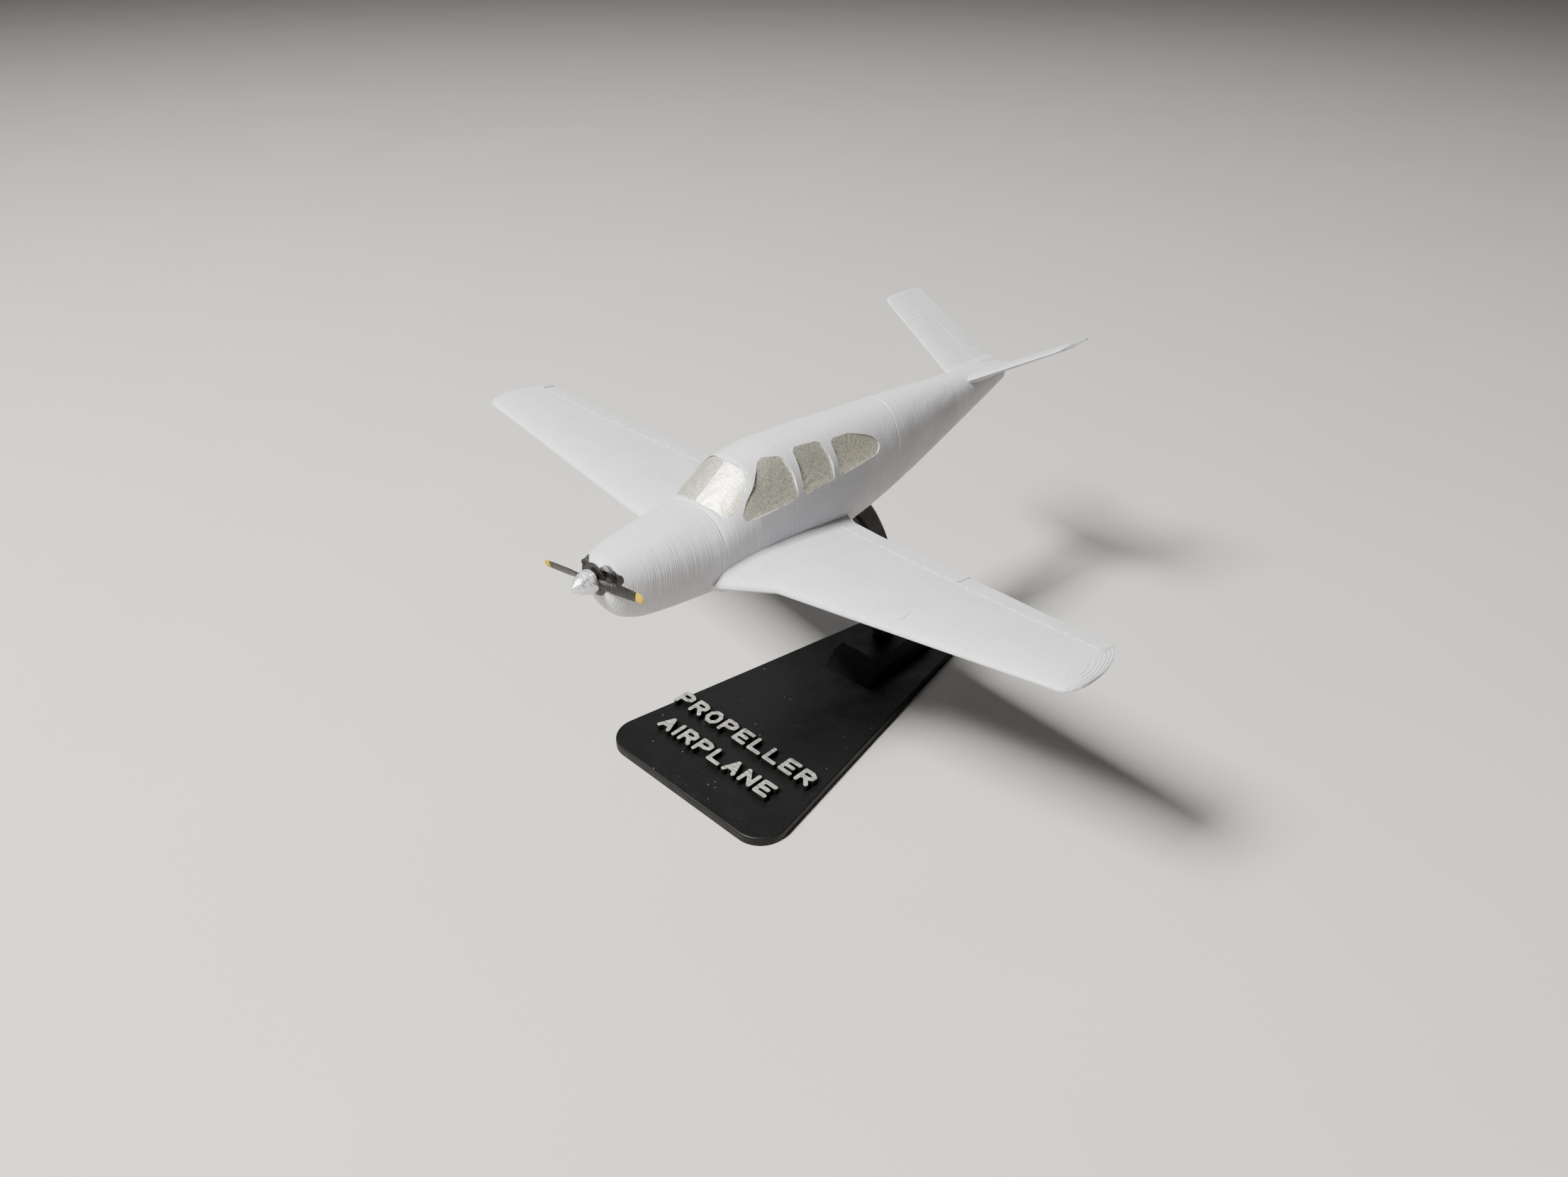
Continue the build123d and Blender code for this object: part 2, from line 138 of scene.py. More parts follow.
def layered(height: Array, layer: float, sharpness: float = 0.3) -> Array:
    """Turns a slope into printed terraces.

    Formula: the height is cut into layers, and within each layer it climbs only in the last share.

    Args:
        height: Heights of a smooth surface.
        layer: Height of one printed layer.
        sharpness: Share of each layer in which the surface climbs.

    Returns:
        Heights of the terraced surface.
    """
    whole = np.floor(height / layer)
    return layer * (whole + ease(height / layer - whole, 1 - sharpness, 1.0))


def rounded_outline(
    corners: Sequence[tuple[float, float]],
    radius: float | Sequence[float],
    inset: float = 0.0,
    spacing: float = 0.3,
    arc_steps: int = 8,
    steps: int = 0,
) -> Array:
    """Outline of a polygon whose corners are arcs.

    Formula: at each corner the arc's centre lies on the bisector at radius over the sine of half
    the corner's angle, and the arc's own radius is the radius less the inset.

    Args:
        corners: The polygon's corners in order.
        radius: Corner radius before the inset, one for all corners or one for each.
        inset: How far the outline is pulled in.
        spacing: Largest step along the straight runs.
        arc_steps: Steps in each arc.
        steps: Steps along each straight run, or 0 to go by the spacing.

    Returns:
        Points of the closed outline, shape (n, 2).
    """
    given = np.array(corners, float)
    radii = np.broadcast_to(np.asarray(radius, float), len(given))
    runs = []
    for before, corner, after, radius in zip(np.roll(given, 1, 0), given, np.roll(given, -1, 0), radii):
        a, b = (v / np.linalg.norm(v) for v in (before - corner, after - corner))
        half = 0.5 * math.acos(float(np.clip(a @ b, -1, 1)))
        centre = corner + (a + b) / np.linalg.norm(a + b) * radius / math.sin(half)
        first, last = (corner + d * radius / math.tan(half) - centre for d in (a, b))
        start, end = (math.atan2(v[1], v[0]) for v in (first, last))
        turn = (end - start + math.pi) % (2 * math.pi) - math.pi
        angle = start + turn * np.linspace(0, 1, arc_steps + 1)
        ray = np.stack([np.cos(angle), np.sin(angle)], -1)
        runs.append((centre + (radius - inset) * ray, centre + radius * ray))
    pieces = []
    for (arc, full), (next_arc, next_full) in zip(runs, runs[1:] + runs[:1]):
        count = steps or max(1, int(np.linalg.norm(next_full[0] - full[-1]) / spacing))
        share = np.arange(1, count)[:, None] / count
        pieces += [arc, arc[-1] + share * (next_arc[0] - arc[-1])]
    return np.concatenate(pieces)


# ---------------------------------------------------------------- meshes
@dataclass
class Shell:
    """One closed surface: points in millimetres with its four- and three-sided faces."""

    points: Array
    quads: Array
    tris: Array

    @classmethod
    def from_rings(
        cls, rings: Array, first: Optional[Array] = None, last: Optional[Array] = None
    ) -> "Shell":
        """Closes a stack of rings into a shell with a pole at each end.

        Formula: quads join each ring to the next, and a fan joins each end ring to its pole.

        Args:
            rings: Points, shape (rows, around, 3).
            first: Pole before the first ring, by default that ring's middle.
            last: Pole after the last ring, by default that ring's middle.

        Returns:
            The shell with its faces turned outwards.
        """
        rows, around = rings.shape[:2]
        first = rings[0].mean(0) if first is None else first
        last = rings[-1].mean(0) if last is None else last
        index = np.arange(rows * around).reshape(rows, around)
        beside = np.roll(index, -1, axis=1)
        quads = np.stack([index[:-1], index[1:], beside[1:], beside[:-1]], -1).reshape(-1, 4)
        start, end = np.full(around, rows * around), np.full(around, rows * around + 1)
        fans = [
            np.stack([start, index[0], beside[0]], -1),
            np.stack([end, beside[-1], index[-1]], -1),
        ]
        points = np.concatenate([rings.reshape(-1, 3), first[None], last[None]])
        shell = cls(points, quads, np.concatenate(fans))
        return shell.turned() if shell.volume() < 0 else shell

    def volume(self) -> float:
        """Signed volume: a sixth of the sum of each triangle's corner triple product."""
        split = np.concatenate([self.quads[:, [0, 1, 2]], self.quads[:, [0, 2, 3]], self.tris])
        a, b, c = (self.points[split[:, i]] for i in range(3))
        return float(np.einsum("ij,ij->i", a, np.cross(b, c)).sum() / 6)

    def turned(self) -> "Shell":
        """The same shell with its faces looking the other way."""
        return Shell(self.points, self.quads[:, ::-1], self.tris[:, ::-1])

    def mirrored(self, side: Side) -> "Shell":
        """The shell for that side of the aeroplane, from the one made for the left side."""
        if side is Side.LEFT:
            return self
        return Shell(self.points * [-1, 1, 1], self.quads, self.tris).turned()


def put_mesh(
    name: str, shells: Sequence[Shell], sharp_deg: float = 34.0, unit: float = MM
) -> bpy.types.Object:
    """Makes one object from shells.

    Args:
        name: Name of the object and its mesh.
        shells: The closed surfaces, in millimetres.
        sharp_deg: Edges that bend more than this are shaded sharp.
        unit: Metres in one unit of the shells' points.

    Returns:
        The new object, at the origin, with its place in its mesh.
    """
    offsets = np.cumsum([0] + [len(s.points) for s in shells])[:-1]
    points = np.concatenate([s.points for s in shells]) * unit
    quads = np.concatenate([s.quads + o for s, o in zip(shells, offsets)])
    tris = np.concatenate([s.tris + o for s, o in zip(shells, offsets)])
    corners = np.concatenate([quads.ravel(), tris.ravel()])
    starts = np.concatenate([np.arange(len(quads)) * 4, len(quads) * 4 + np.arange(len(tris)) * 3])
    mesh = bpy.data.meshes.new(name)
    mesh.vertices.add(len(points))
    mesh.vertices.foreach_set("co", points.astype(np.float32).ravel())
    mesh.loops.add(len(corners))
    mesh.loops.foreach_set("vertex_index", corners.astype(np.int32))
    mesh.polygons.add(len(starts))
    mesh.polygons.foreach_set("loop_start", starts.astype(np.int32))
    mesh.update(calc_edges=True)
    mesh.validate()
    soften(mesh, sharp_deg)
    piece = bpy.data.objects.new(name, mesh)
    bpy.context.scene.collection.objects.link(piece)
    return piece


def soften(mesh: bpy.types.Mesh, sharp_deg: float) -> None:
    """Shades a mesh smooth but for the edges that bend more than sharp_deg."""
    mesh.polygons.foreach_set("use_smooth", np.ones(len(mesh.polygons), bool))
    mesh.set_sharp_from_angle(angle=math.radians(sharp_deg))


def finish_modifiers(piece: bpy.types.Object, sharp_deg: float = 34.0) -> None:
    """Makes the result of a piece's modifiers its mesh and removes them."""
    bpy.context.view_layer.update()
    evaluated = piece.evaluated_get(bpy.context.evaluated_depsgraph_get())
    done = bpy.data.meshes.new_from_object(evaluated)
    done.name = piece.data.name
    piece.modifiers.clear()
    piece.data = done
    soften(done, sharp_deg)


def cut_away(piece: bpy.types.Object, cutters: Sequence[Shell], sharp_deg: float = 30.0) -> None:
    """Cuts closed shells out of a piece, leaving crisp pockets.

    Args:
        piece: The piece that is cut.
        cutters: The shells that are removed, in millimetres, which don't touch each other.
        sharp_deg: Edges that bend more than this are shaded sharp afterwards.
    """
    tool = put_mesh(piece.name + "_tool", cutters)
    cut = piece.modifiers.new("pockets", "BOOLEAN")
    cut.operation, cut.solver, cut.object = "DIFFERENCE", "EXACT", tool
    finish_modifiers(piece, sharp_deg)
    bpy.data.objects.remove(tool)


def dress(
    piece: bpy.types.Object,
    material: bpy.types.Material,
    body: str,
    nodes: Sequence[str] = (),
) -> bpy.types.Object:
    """Gives a finished piece its material and its place in the model, and reports it.

    Args:
        piece: The finished piece.
        material: Its finish.
        body: The body that it moves with.
        nodes: The plain solids that it stands for.

    Returns:
        The piece.
    """
    piece.data.materials.clear()
    piece.data.materials.append(material)
    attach(piece, body)
    if nodes:
        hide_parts(*nodes)
    log.info("%s: %d faces on %s", piece.name, len(piece.data.polygons), body)
    return piece


# ---------------------------------------------------------------- materials
def linear(hex_colour: str) -> tuple[float, float, float, float]:
    """An sRGB hex colour such as "c8cacb" as linear red, green, blue and alpha."""
    srgb = np.array([int(hex_colour[i : i + 2], 16) for i in (0, 2, 4)]) / 255
    rgb = np.where(srgb <= 0.04045, srgb / 12.92, ((srgb + 0.055) / 1.055) ** 2.4)
    return (*map(float, rgb), 1.0)


def add_node(
    tree: bpy.types.NodeTree, kind: str, inputs: Optional[dict] = None, **settings: object
) -> bpy.types.Node:
    """Adds a node.

    Args:
        tree: The material's node tree.
        kind: The node's type.
        inputs: Values or output sockets by input name or number.
        **settings: The node's own settings.

    Returns:
        The new node.
    """
    node = tree.nodes.new(kind)
    for key, value in settings.items():
        setattr(node, key, value)
    for key, value in (inputs or {}).items():
        if isinstance(value, bpy.types.NodeSocket):
            tree.links.new(value, node.inputs[key])
        else:
            node.inputs[key].default_value = value
    return node


def new_material(name: str) -> tuple[bpy.types.Material, bpy.types.NodeTree, bpy.types.Node]:
    """An empty material, its node tree and the Principled shader joined to its output."""
    material = bpy.data.materials.new(name)
    material.use_nodes = True
    tree = material.node_tree
    tree.nodes.clear()
    shader = add_node(tree, "ShaderNodeBsdfPrincipled")
    add_node(tree, "ShaderNodeOutputMaterial", {"Surface": shader.outputs[0]})
    return material, tree, shader


@dataclass(frozen=True)
class Flight:
    """How the aeroplane sits: its nose-up angle and the height where its wing planes meet."""

    pitch_deg: float = 1.75
    apex_z: float = 49.5

    def to_row(self, points: Array) -> Array:
        """Points from the aeroplane's frame to the model's, turned about x and lifted."""
        cos, sin = math.cos(math.radians(self.pitch_deg)), math.sin(math.radians(self.pitch_deg))
        x, y, z = points[..., 0], points[..., 1], points[..., 2]
        return np.stack([x, y * cos + z * sin, -y * sin + z * cos + self.apex_z], -1)

    def placed(self, shell: Shell) -> Shell:
        """A shell moved from the aeroplane's frame to the model's."""
        return Shell(self.to_row(shell.points), shell.quads, shell.tris)

    def coordinates(self, tree: bpy.types.NodeTree) -> bpy.types.NodeSocket:
        """Object coordinates turned back to the aeroplane's frame, in metres."""
        angle = math.radians(self.pitch_deg)
        lift = self.apex_z * MM
        place = add_node(tree, "ShaderNodeTexCoord")
        level = add_node(
            tree,
            "ShaderNodeMapping",
            {
                "Vector": place.outputs["Object"],
                "Rotation": (angle, 0, 0),
                "Location": (0, lift * math.sin(angle), -lift * math.cos(angle)),
            },
        )
        return level.outputs[0]


FLIGHT = Flight()


@dataclass(frozen=True)
class BrushedPaint:
    """Matte acrylic model paint, brushed over a sanded filament print.

    It gives a pale cool grey with soft streaks of gloss where bristles dragged the paint, faint
    print layers under it, and a few specks of dust caught in the coat.
    """

    name: str
    run: StrokeRun
    light: str = "b9b9bd"
    shade: str = "a9a9ad"
    dark: str = "1d1c1c"
    rough_low: float = 0.26
    rough_high: float = 0.58
    bristle_depth: float = 0.06
    stroke_mm: float = 0.30      # between bristle marks, drawn coarser than real so that they show
    stroke_length_mm: float = 7.0
    layer_mm: float = 0.45       # two printed layers, because one alone is too fine to show
    layer_depth: float = 0.012
    layer_fade: Optional[tuple[float, float]] = None  # aft distances over which thicker paint hides layers
    dimple_mm: float = 0.42      # lumps of half-dried paint
    dimple_depth: float = 0.035
    grain_mm: float = 0.16       # pigment and sanding grain
    speck_cell_mm: float = 4.2   # on average one speck in each cell of this size
    speck_mm: float = 0.13
    stains: tuple[tuple[float, float, float, float], ...] = ()  # x, y, z and radius of dark dabs

    def material(self) -> bpy.types.Material:
        """Builds the material."""
        material, tree, shader = new_material(self.name)
        level = FLIGHT.coordinates(tree)
        fine, long = 1 / (self.stroke_mm * MM), 1 / (self.stroke_length_mm * MM)
        across = (long, fine, long) if self.run is StrokeRun.ALONG_BODY else (fine, long, 2 * long)
        band = "Y" if self.run is StrokeRun.ALONG_BODY else "X"
        stretched = add_node(tree, "ShaderNodeMapping", {"Vector": level, "Scale": across})
        strokes = add_node(
            tree, "ShaderNodeTexNoise",
            {"Vector": stretched.outputs[0], "Scale": 1.0, "Detail": 5.0, "Roughness": 0.62},
        )
        broad = add_node(
            tree, "ShaderNodeTexNoise",
            {"Vector": level, "Scale": 1 / (6.0 * MM), "Detail": 3.0, "Roughness": 0.55},
        )
        # a wave node repeats every 0.314 units over its scale
        layers = add_node(
            tree, "ShaderNodeTexWave",
            {"Vector": level, "Scale": 0.314 / (self.layer_mm * MM), "Distortion": 1.4,
             "Detail": 2.0, "Detail Scale": 0.6},
            bands_direction=band,
        )
        grain = add_node(
            tree, "ShaderNodeTexNoise",
            {"Vector": level, "Scale": 1 / (self.grain_mm * MM), "Detail": 3.0},
        )
        ridge_height = layers.outputs[1]
        if self.layer_fade:
            aft = add_node(tree, "ShaderNodeSeparateXYZ", {0: level})
            near, far = (distance * MM for distance in self.layer_fade)
            share = add_node(
                tree, "ShaderNodeMapRange",
                {"Value": aft.outputs[1], "From Min": near, "From Max": far, "To Min": 1.0, "To Max": 0.22},
            )
            ridge_height = add_node(
                tree, "ShaderNodeMath", {0: ridge_height, 1: share.outputs[0]}, operation="MULTIPLY"
            ).outputs[0]
        lumps = add_node(
            tree, "ShaderNodeTexNoise",
            {"Vector": level, "Scale": 1 / (self.dimple_mm * MM), "Detail": 2.0, "Roughness": 0.45},
        )
        # strokes carry most gloss where the broad noise says the brush pressed
        pressed = add_node(
            tree, "ShaderNodeMapRange",
            {"Value": broad.outputs[0], "From Min": 0.38, "From Max": 0.62, "To Min": 0.25, "To Max": 1.0},
        )
        streak = add_node(
            tree, "ShaderNodeMapRange",
            {"Value": strokes.outputs[0], "From Min": 0.35, "From Max": 0.68},
        )
        gloss = add_node(
            tree, "ShaderNodeMath", {0: streak.outputs[0], 1: pressed.outputs[0]}, operation="MULTIPLY"
        )
        rough = add_node(
            tree, "ShaderNodeMapRange",
            {"Value": gloss.outputs[0], "To Min": self.rough_high, "To Max": self.rough_low},
        )
        tint = add_node(
            tree, "ShaderNodeMix",
            {0: gloss.outputs[0], 6: linear(self.shade), 7: linear(self.light)}, data_type="RGBA",
        )
        colour = self.specked(tree, level, tint.outputs[2])
        colour = self.stained(tree, level, strokes.outputs[0], colour)
        ridges = add_node(
            tree, "ShaderNodeBump",
            {"Height": ridge_height, "Distance": self.layer_depth * MM, "Strength": 0.8},
        )
        bristles = add_node(
            tree, "ShaderNodeBump",
            {"Height": gloss.outputs[0], "Distance": self.bristle_depth * MM, "Strength": 0.9,
             "Normal": ridges.outputs[0]},
        )
        dimples = add_node(
            tree, "ShaderNodeBump",
            {"Height": lumps.outputs[0], "Distance": self.dimple_depth * MM, "Strength": 0.8,
             "Normal": bristles.outputs[0]},
        )
        grit = add_node(
            tree, "ShaderNodeBump",
            {"Height": grain.outputs[0], "Distance": 0.014 * MM, "Strength": 0.6,
             "Normal": dimples.outputs[0]},
        )
        tree.links.new(colour, shader.inputs["Base Color"])
        tree.links.new(rough.outputs[0], shader.inputs["Roughness"])
        tree.links.new(grit.outputs[0], shader.inputs["Normal"])
        shader.inputs["IOR"].default_value = 1.5
        return material

    def specked(
        self, tree: bpy.types.NodeTree, level: bpy.types.NodeSocket, colour: bpy.types.NodeSocket
    ) -> bpy.types.NodeSocket:
        """Adds dust: a dark or pale dot in some cells of a random grid.

        Args:
            tree: The material's node tree.
            level: The aeroplane's coordinates.
            colour: The paint's colour.

        Returns:
            The colour with its specks.
        """
        cells = add_node(
            tree, "ShaderNodeTexVoronoi",
            {"Vector": level, "Scale": 1 / (self.speck_cell_mm * MM), "Randomness": 1.0},
        )
        share = self.speck_mm / self.speck_cell_mm
        dot = add_node(
            tree, "ShaderNodeMapRange",
            {"Value": cells.outputs[0], "From Min": share * 0.5, "From Max": share,
             "To Min": 0.75, "To Max": 0.0},
        )
        cell = add_node(tree, "ShaderNodeSeparateColor", {0: cells.outputs[1]})
        chosen = add_node(tree, "ShaderNodeMath", {0: cell.outputs[0], 1: 0.5}, operation="GREATER_THAN")
        mask = add_node(
            tree, "ShaderNodeMath", {0: dot.outputs[0], 1: chosen.outputs[0]}, operation="MULTIPLY"
        )
        pale = add_node(tree, "ShaderNodeMath", {0: cell.outputs[1], 1: 0.45}, operation="GREATER_THAN")
        speck = add_node(
            tree, "ShaderNodeMix",
            {0: pale.outputs[0], 6: linear("6b6660"), 7: linear("f2f2ee")}, data_type="RGBA",
        )
        mixed = add_node(
            tree, "ShaderNodeMix",
            {0: mask.outputs[0], 6: colour, 7: speck.outputs[2]}, data_type="RGBA",
        )
        return mixed.outputs[2]

    def stained(
        self,
        tree: bpy.types.NodeTree,
        level: bpy.types.NodeSocket,
        noise: bpy.types.NodeSocket,
        colour: bpy.types.NodeSocket,
    ) -> bpy.types.NodeSocket:
        """Adds dark dabs of paint with brushy edges, mirrored to both sides.

        Args:
            tree: The material's node tree.
            level: The aeroplane's coordinates.
            noise: The stroke noise that roughens the dabs' edges.
            colour: The colour so far.

        Returns:
            The colour with its dabs.
        """
        both = add_node(tree, "ShaderNodeVectorMath", {0: level}, operation="ABSOLUTE")
        split, folded = (
            add_node(tree, "ShaderNodeSeparateXYZ", {0: v}) for v in (level, both.outputs[0])
        )
        place = add_node(
            tree, "ShaderNodeCombineXYZ", {0: folded.outputs[0], 1: split.outputs[1], 2: split.outputs[2]}
        )
        for x, y, z, radius in self.stains:
            away = add_node(
                tree, "ShaderNodeVectorMath",
                {0: place.outputs[0], 1: (x * MM, y * MM, z * MM)}, operation="DISTANCE",
            )
            rough = add_node(
                tree, "ShaderNodeMath", {0: noise, 1: -0.5 * radius * MM, 2: away.outputs["Value"]},
                operation="MULTIPLY_ADD",
            )
            mask = add_node(
                tree, "ShaderNodeMapRange",
                {"Value": rough.outputs[0], "From Min": 0.62 * radius * MM, "From Max": 0.75 * radius * MM,
                 "To Min": 1.0, "To Max": 0.0},
            )
            mixed = add_node(
                tree, "ShaderNodeMix",
                {0: mask.outputs[0], 6: colour, 7: linear(self.dark)}, data_type="RGBA",
            )
            colour = mixed.outputs[2]
        return colour


@dataclass(frozen=True)
class FlakePaint:
    """Silver metallic paint with coarse aluminium flakes, brushed on.

    It gives a mid-grey mirror broken into sparkling points, with faint brush ridges.
    """

    name: str
    base: str = "dcdac8"
    glint: str = "fffdf2"
    deep: str = "9d9981"
    flake_mm: float = 0.15       # drawn a little coarser than real flakes so that they show
    rough_low: float = 0.24
    rough_high: float = 0.5
    stroke: tuple[float, float, float] = (1.6, 0.35, 1.6)  # noise lengths along x, y and z
    depth: float = 0.028

    def material(self) -> bpy.types.Material:
        """Builds the material."""
        material, tree, shader = new_material(self.name)
        level = FLIGHT.coordinates(tree)
        flakes = add_node(
            tree, "ShaderNodeTexVoronoi",
            {"Vector": level, "Scale": 1 / (self.flake_mm * MM), "Randomness": 1.0},
        )
        flake = add_node(tree, "ShaderNodeSeparateColor", {0: flakes.outputs[1]})
        stretched = add_node(
            tree, "ShaderNodeMapping",
            {"Vector": level, "Scale": tuple(1 / (length * MM) for length in self.stroke)},
        )
        strokes = add_node(
            tree, "ShaderNodeTexNoise",
            {"Vector": stretched.outputs[0], "Scale": 1.0, "Detail": 4.0, "Roughness": 0.6},
        )
        bright = add_node(
            tree, "ShaderNodeMapRange", {"Value": flake.outputs[0], "From Min": 0.72, "From Max": 1.0}
        )
        dull = add_node(
            tree, "ShaderNodeMapRange",
            {"Value": flake.outputs[1], "From Min": 0.55, "From Max": 1.0, "To Max": 0.7},
        )
        darker = add_node(
            tree, "ShaderNodeMix",
            {0: dull.outputs[0], 6: linear(self.base), 7: linear(self.deep)}, data_type="RGBA",
        )
        colour = add_node(
            tree, "ShaderNodeMix",
            {0: bright.outputs[0], 6: darker.outputs[2], 7: linear(self.glint)}, data_type="RGBA",
        )
        rough = add_node(
            tree, "ShaderNodeMapRange",
            {"Value": flake.outputs[2], "To Min": self.rough_low, "To Max": self.rough_high},
        )
        ridges = add_node(
            tree, "ShaderNodeBump",
            {"Height": strokes.outputs[0], "Distance": self.depth * 2 * MM, "Strength": 0.7},
        )
        tilted = add_node(
            tree, "ShaderNodeBump",
            {"Height": flake.outputs[0], "Distance": self.depth * MM, "Strength": 0.55,
             "Normal": ridges.outputs[0]},
        )
        tree.links.new(colour.outputs[2], shader.inputs["Base Color"])
        tree.links.new(rough.outputs[0], shader.inputs["Roughness"])
        tree.links.new(tilted.outputs[0], shader.inputs["Normal"])
        shader.inputs["Metallic"].default_value = 0.82
        return material


@dataclass(frozen=True)
class PrintedPlastic:
    """Satin filament plastic straight from the printer.

    It gives a deep colour with a soft sheen, lines a nozzle wide across flat faces or a layer high
    on walls, and pale dust.  With a top colour it is dry-brushed on the faces that look up.
    """

    name: str
    base: str = "040404"
    sheen: str = "080808"
    dust: str = "8f8d88"
    rough_low: float = 0.4
    rough_high: float = 0.58
    line_mm: float = 0.42        # one nozzle width between lines on a flat face
    line_turn_deg: float = 45.0
    layer_mm: float = 0.2
    line_depth: float = 0.010
    dust_cell_mm: float = 2.2
    dust_mm: float = 0.13
    top: Optional[str] = None
    top_above: float = 3.25      # height over which dry-brushed paint lies

    def material(self) -> bpy.types.Material:
        """Builds the material."""
        material, tree, shader = new_material(self.name)
        place = add_node(tree, "ShaderNodeTexCoord").outputs["Object"]
        turned = add_node(
            tree, "ShaderNodeMapping",
            {"Vector": place, "Rotation": (0, 0, math.radians(self.line_turn_deg))},
        )
        # a wave node repeats every 0.314 units over its scale
        lines = add_node(
            tree, "ShaderNodeTexWave",
            {"Vector": turned.outputs[0], "Scale": 0.314 / (self.line_mm * MM), "Distortion": 0.5},
            bands_direction="X",
        )
        layers = add_node(
            tree, "ShaderNodeTexWave",
            {"Vector": place, "Scale": 0.314 / (self.layer_mm * MM), "Distortion": 0.3},
            bands_direction="Z",
        )
        cloud = add_node(
            tree, "ShaderNodeTexNoise",
            {"Vector": place, "Scale": 1 / (4.0 * MM), "Detail": 4.0, "Roughness": 0.6},
        )
        grain = add_node(
            tree, "ShaderNodeTexNoise", {"Vector": place, "Scale": 1 / (0.12 * MM), "Detail": 2.0}
        )
        facing = add_node(tree, "ShaderNodeNewGeometry")
        upward = add_node(tree, "ShaderNodeSeparateXYZ", {0: facing.outputs["Normal"]})
        flat = add_node(
            tree, "ShaderNodeMapRange", {"Value": upward.outputs[2], "From Min": 0.75, "From Max": 0.95}
        )
        height = add_node(
            tree, "ShaderNodeMix",
            {0: flat.outputs[0], 2: layers.outputs[1], 3: lines.outputs[1]}, data_type="FLOAT",
        )
        tint = add_node(
            tree, "ShaderNodeMix",
            {0: cloud.outputs[0], 6: linear(self.base), 7: linear(self.sheen)}, data_type="RGBA",
        )
        cells = add_node(
            tree, "ShaderNodeTexVoronoi", {"Vector": place, "Scale": 1 / (self.dust_cell_mm * MM)}
        )
        share = self.dust_mm / self.dust_cell_mm
        speck = add_node(
            tree, "ShaderNodeMapRange",
            {"Value": cells.outputs[0], "From Min": share * 0.4, "From Max": share,
             "To Min": 0.6, "To Max": 0.0},
        )
        settled = add_node(
            tree, "ShaderNodeMath", {0: speck.outputs[0], 1: flat.outputs[0]}, operation="MULTIPLY"
        )
        colour = add_node(
            tree, "ShaderNodeMix",
            {0: settled.outputs[0], 6: tint.outputs[2], 7: linear(self.dust)}, data_type="RGBA",
        ).outputs[2]
        rough = add_node(
            tree, "ShaderNodeMapRange",
            {"Value": cloud.outputs[0], "From Min": 0.3, "From Max": 0.7,
             "To Min": self.rough_low, "To Max": self.rough_high},
        )
        ridges = add_node(
            tree, "ShaderNodeBump",
            {"Height": height.outputs[0], "Distance": self.line_depth * MM, "Strength": 0.7},
        )
        grit = add_node(
            tree, "ShaderNodeBump",
            {"Height": grain.outputs[0], "Distance": 0.008 * MM, "Strength": 0.5,
             "Normal": ridges.outputs[0]},
        )
        if self.top:
            colour = self.dry_brushed(tree, place, flat.outputs[0], colour)
        tree.links.new(colour, shader.inputs["Base Color"])
        tree.links.new(rough.outputs[0], shader.inputs["Roughness"])
        tree.links.new(grit.outputs[0], shader.inputs["Normal"])
        shader.inputs["IOR"].default_value = 1.46
        shader.inputs["Specular IOR Level"].default_value = 0.24
        return material

    def dry_brushed(
        self,
        tree: bpy.types.NodeTree,
        place: bpy.types.NodeSocket,
        flat: bpy.types.NodeSocket,
        colour: bpy.types.NodeSocket,
    ) -> bpy.types.NodeSocket:
        """Lays streaky paint on the upward faces above the set height.

        Args:
            tree: The material's node tree.
            place: The object coordinates.
            flat: How far each face looks up, from 0 to 1.
            colour: The plastic's colour.

        Returns:
            The colour with the paint on top.
        """
        stretched = add_node(
            tree, "ShaderNodeMapping",
            {"Vector": place, "Scale": (1 / (1.4 * MM), 1 / (0.22 * MM), 1 / (1.0 * MM))},
        )
        streaks = add_node(
            tree, "ShaderNodeTexNoise", {"Vector": stretched.outputs[0], "Scale": 1.0, "Detail": 5.0}
        )
        worn = add_node(
            tree, "ShaderNodeMapRange",
            {"Value": streaks.outputs[0], "From Min": 0.36, "From Max": 0.6, "To Min": 0.3, "To Max": 1.0},
        )
        high = add_node(tree, "ShaderNodeSeparateXYZ", {0: place})
        above = add_node(
            tree, "ShaderNodeMapRange",
            {"Value": high.outputs[2], "From Min": (self.top_above - 0.05) * MM,
             "From Max": (self.top_above + 0.04) * MM},
        )
        upward = add_node(tree, "ShaderNodeMath", {0: flat, 1: above.outputs[0]}, operation="MULTIPLY")
        mask = add_node(
            tree, "ShaderNodeMath", {0: upward.outputs[0], 1: worn.outputs[0]}, operation="MULTIPLY"
        )
        mixed = add_node(
            tree, "ShaderNodeMix", {0: mask.outputs[0], 6: colour, 7: linear(self.top)}, data_type="RGBA"
        )
        return mixed.outputs[2]


